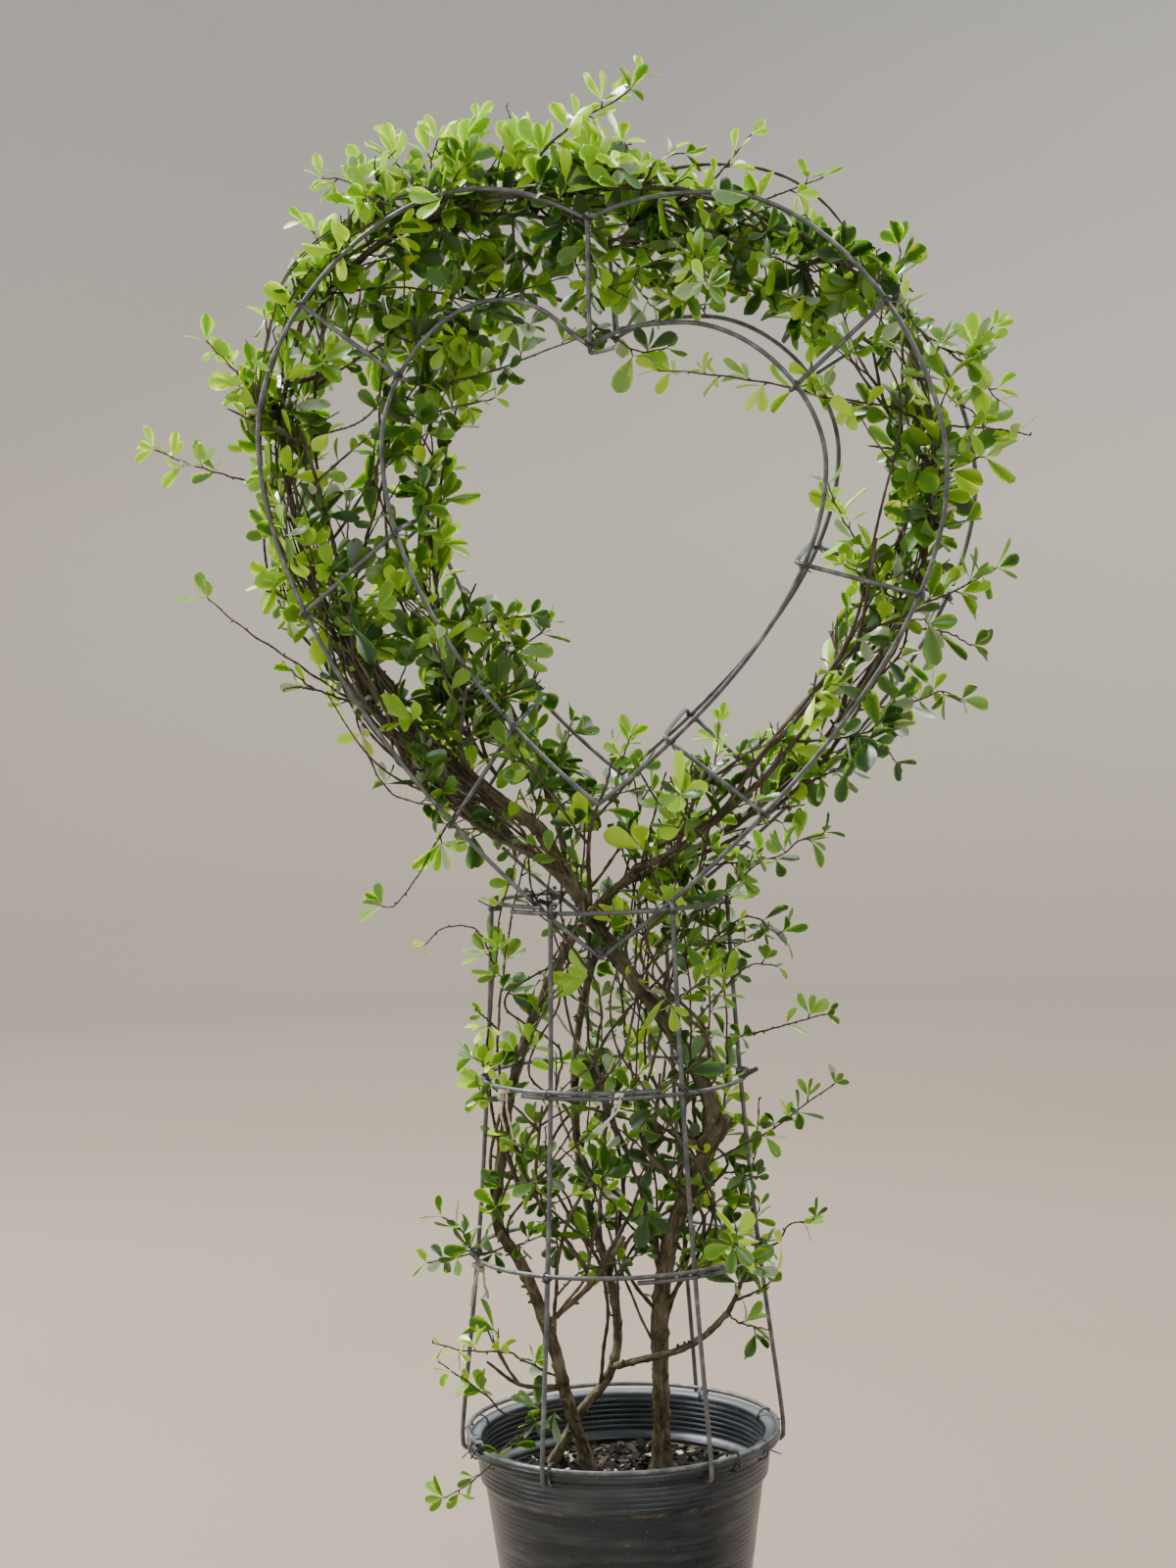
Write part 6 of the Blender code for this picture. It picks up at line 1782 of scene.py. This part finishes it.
LEAF_CURL = (-0.05, 0.24)
LEAF_WAVE = (-0.05, 0.05)
LEAF_SKEW = (-0.10, 0.10)
LEAF_GLOW = {
    "Subsurface Weight": 0.40, "Subsurface Radius": (0.7, 1.0, 0.15), "Subsurface Scale": 0.001,
}
LEAF_WIRE_GAP = 0.0012
LEAF_POT_GAP = 0.004
# Some leaves at random are pale grey-green: a painted sheen, the reflection of the sky on glossy leaves.
PAINTED_SHEEN_SHARE = 0.05
LEAF_TONES = {
    "leaves_deep": (0.12, (0.018, 0.058, 0.006)),
    "leaves_dark": (0.18, (0.036, 0.108, 0.008)),
    "leaves_green": (0.19, (0.074, 0.190, 0.011)),
    "leaves_fresh": (0.19, (0.140, 0.300, 0.015)),
    "leaves_bright": (0.18, (0.245, 0.455, 0.018)),
    "leaves_lime": (0.14, (0.430, 0.670, 0.030)),
    "leaves_painted_sheen": (PAINTED_SHEEN_SHARE, (0.310, 0.400, 0.250)),
}


def leaf_grid(rows, chance):
    """Corners of many leaves at once.

    Across and along a blade, corner (u, v) is root + L (u + tooth) ahead + (w h(u) v + skew L u^2) across
    + (fold w h |v| - curl L u^2 + wave) face, and a second midrib line lies LEAF_THICKNESS below the first.
    """
    count = len(rows)
    root, ahead, face = (rows[:, None, None, k : k + 3] for k in (0, 3, 6))
    length, width = rows[:, None, None, 9:10], rows[:, None, None, 10:11]
    across = unit(np.cross(face, ahead))
    face = np.cross(ahead, across)
    u = LEAF_ROWS[None, :, None, None]
    half = LEAF_HALF_WIDTHS[None, :, None, None]
    v = LEAF_COLUMNS[None, None, :, None]
    tooth = np.zeros((count, len(LEAF_ROWS), len(LEAF_COLUMNS), 1))
    tooth[:, -1, :, 0] = LEAF_TIPS[chance.integers(0, len(LEAF_TIPS), count)]
    tooth[:, -2, (0, -1), 0] = 0.02
    fold, curl, wave, skew = (
        chance.uniform(*limits, (count, 1, 1, 1)) for limits in (LEAF_FOLD, LEAF_CURL, LEAF_WAVE, LEAF_SKEW)
    )
    wave = wave * np.sin(7 * u + 3 * np.sign(v)) * v**2
    rise = fold * 0.5 * width * half * np.abs(v) - curl * length * u**2 + wave * width
    blade = root + length * (u + tooth) * ahead + (0.5 * width * half * v + skew * length * u**2) * across
    top = blade + rise * face
    under = top[:, :, 2] - LEAF_THICKNESS * face[:, :, 0]
    return np.concatenate([top.reshape(count, -1, 3), under], axis=1)


def leaf_faces(count):
    """Faces of every leaf: the blade's upper side, its under side by way of the lower midrib, and its
    ends."""
    rows, columns = len(LEAF_ROWS), len(LEAF_COLUMNS)
    here = np.arange(rows * columns).reshape(rows, columns)
    under = rows * columns + np.arange(rows)
    top = np.stack([here[:-1, :-1], here[:-1, 1:], here[1:, 1:], here[1:, :-1]], axis=2).reshape(-1, 4)
    left = np.stack([here[:-1, 0], here[1:, 0], under[1:], under[:-1]], axis=1)
    right = np.stack([here[:-1, -1], under[:-1], under[1:], here[1:, -1]], axis=1)
    foot = [(here[0, k + 1], here[0, k], under[0]) for k in range(columns - 1)]
    tip = [(under[-1], here[-1, k], here[-1, k + 1]) for k in range(columns - 1)]
    shift = rows * (columns + 1) * np.arange(count)[:, None, None]
    kinds = np.vstack([top, left, right]), np.array(foot + tip)
    return [(kind[None] + shift).reshape(-1, kind.shape[1]) for kind in kinds]


leaf_rows = np.vstack([mass.leaves for mass in masses])
middles = leaf_rows[:, :3] + 0.55 * leaf_rows[:, 9:10] * leaf_rows[:, 3:6]
tips = leaf_rows[:, :3] + leaf_rows[:, 9:10] * leaf_rows[:, 3:6]
wire_points = np.vstack(WIRE_PATHS)
wire_tree = KDTree(len(wire_points))
for number, point in enumerate(wire_points):
    wire_tree.insert(point, number)
wire_tree.balance()
on_wire = np.array([wire_tree.find(point)[2] for point in middles]) < WIRE + LEAF_WIRE_GAP
in_pot = np.hypot(tips[:, 0], tips[:, 1]) < POT_RIM_RADIUS + LEAF_POT_GAP
in_pot &= tips[:, 2] < SOIL_TOP + LEAF_POT_GAP
out_of_room = ~in_room(middles, 0.004) & (leaf_rows[:, 12] < 0.5)
leaf_rows = leaf_rows[~(out_of_room | on_wire | in_pot)]
leaf_chance = np.random.default_rng(FOLIAGE_SEED + 100)
# The leaves with the painted sheen, picked at random.
painted_sheen = leaf_chance.uniform(0, 1, len(leaf_rows)) < PAINTED_SHEEN_SHARE
tone_order = np.argsort(np.argsort(leaf_rows[:, 11])) / len(leaf_rows)
floor_share = 0.0
for leaf_name, (leaf_share, leaf_colour) in LEAF_TONES.items():
    mine = painted_sheen if leaf_name == "leaves_painted_sheen" else (
        ~painted_sheen & (tone_order >= floor_share) & (tone_order < floor_share + leaf_share)
    )
    floor_share += leaf_share
    leaf_finish = Finish(leaf_name, roughness=0.36, specular=0.50, colour=leaf_colour)
    for socket, value in LEAF_GLOW.items():
        leaf_finish.shader.inputs[socket].default_value = value
    corners = leaf_grid(leaf_rows[mine], leaf_chance)
    piece = surface(leaf_name, corners, leaf_faces(len(corners)), leaf_finish.material, sharp=75)
    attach(piece, "root")
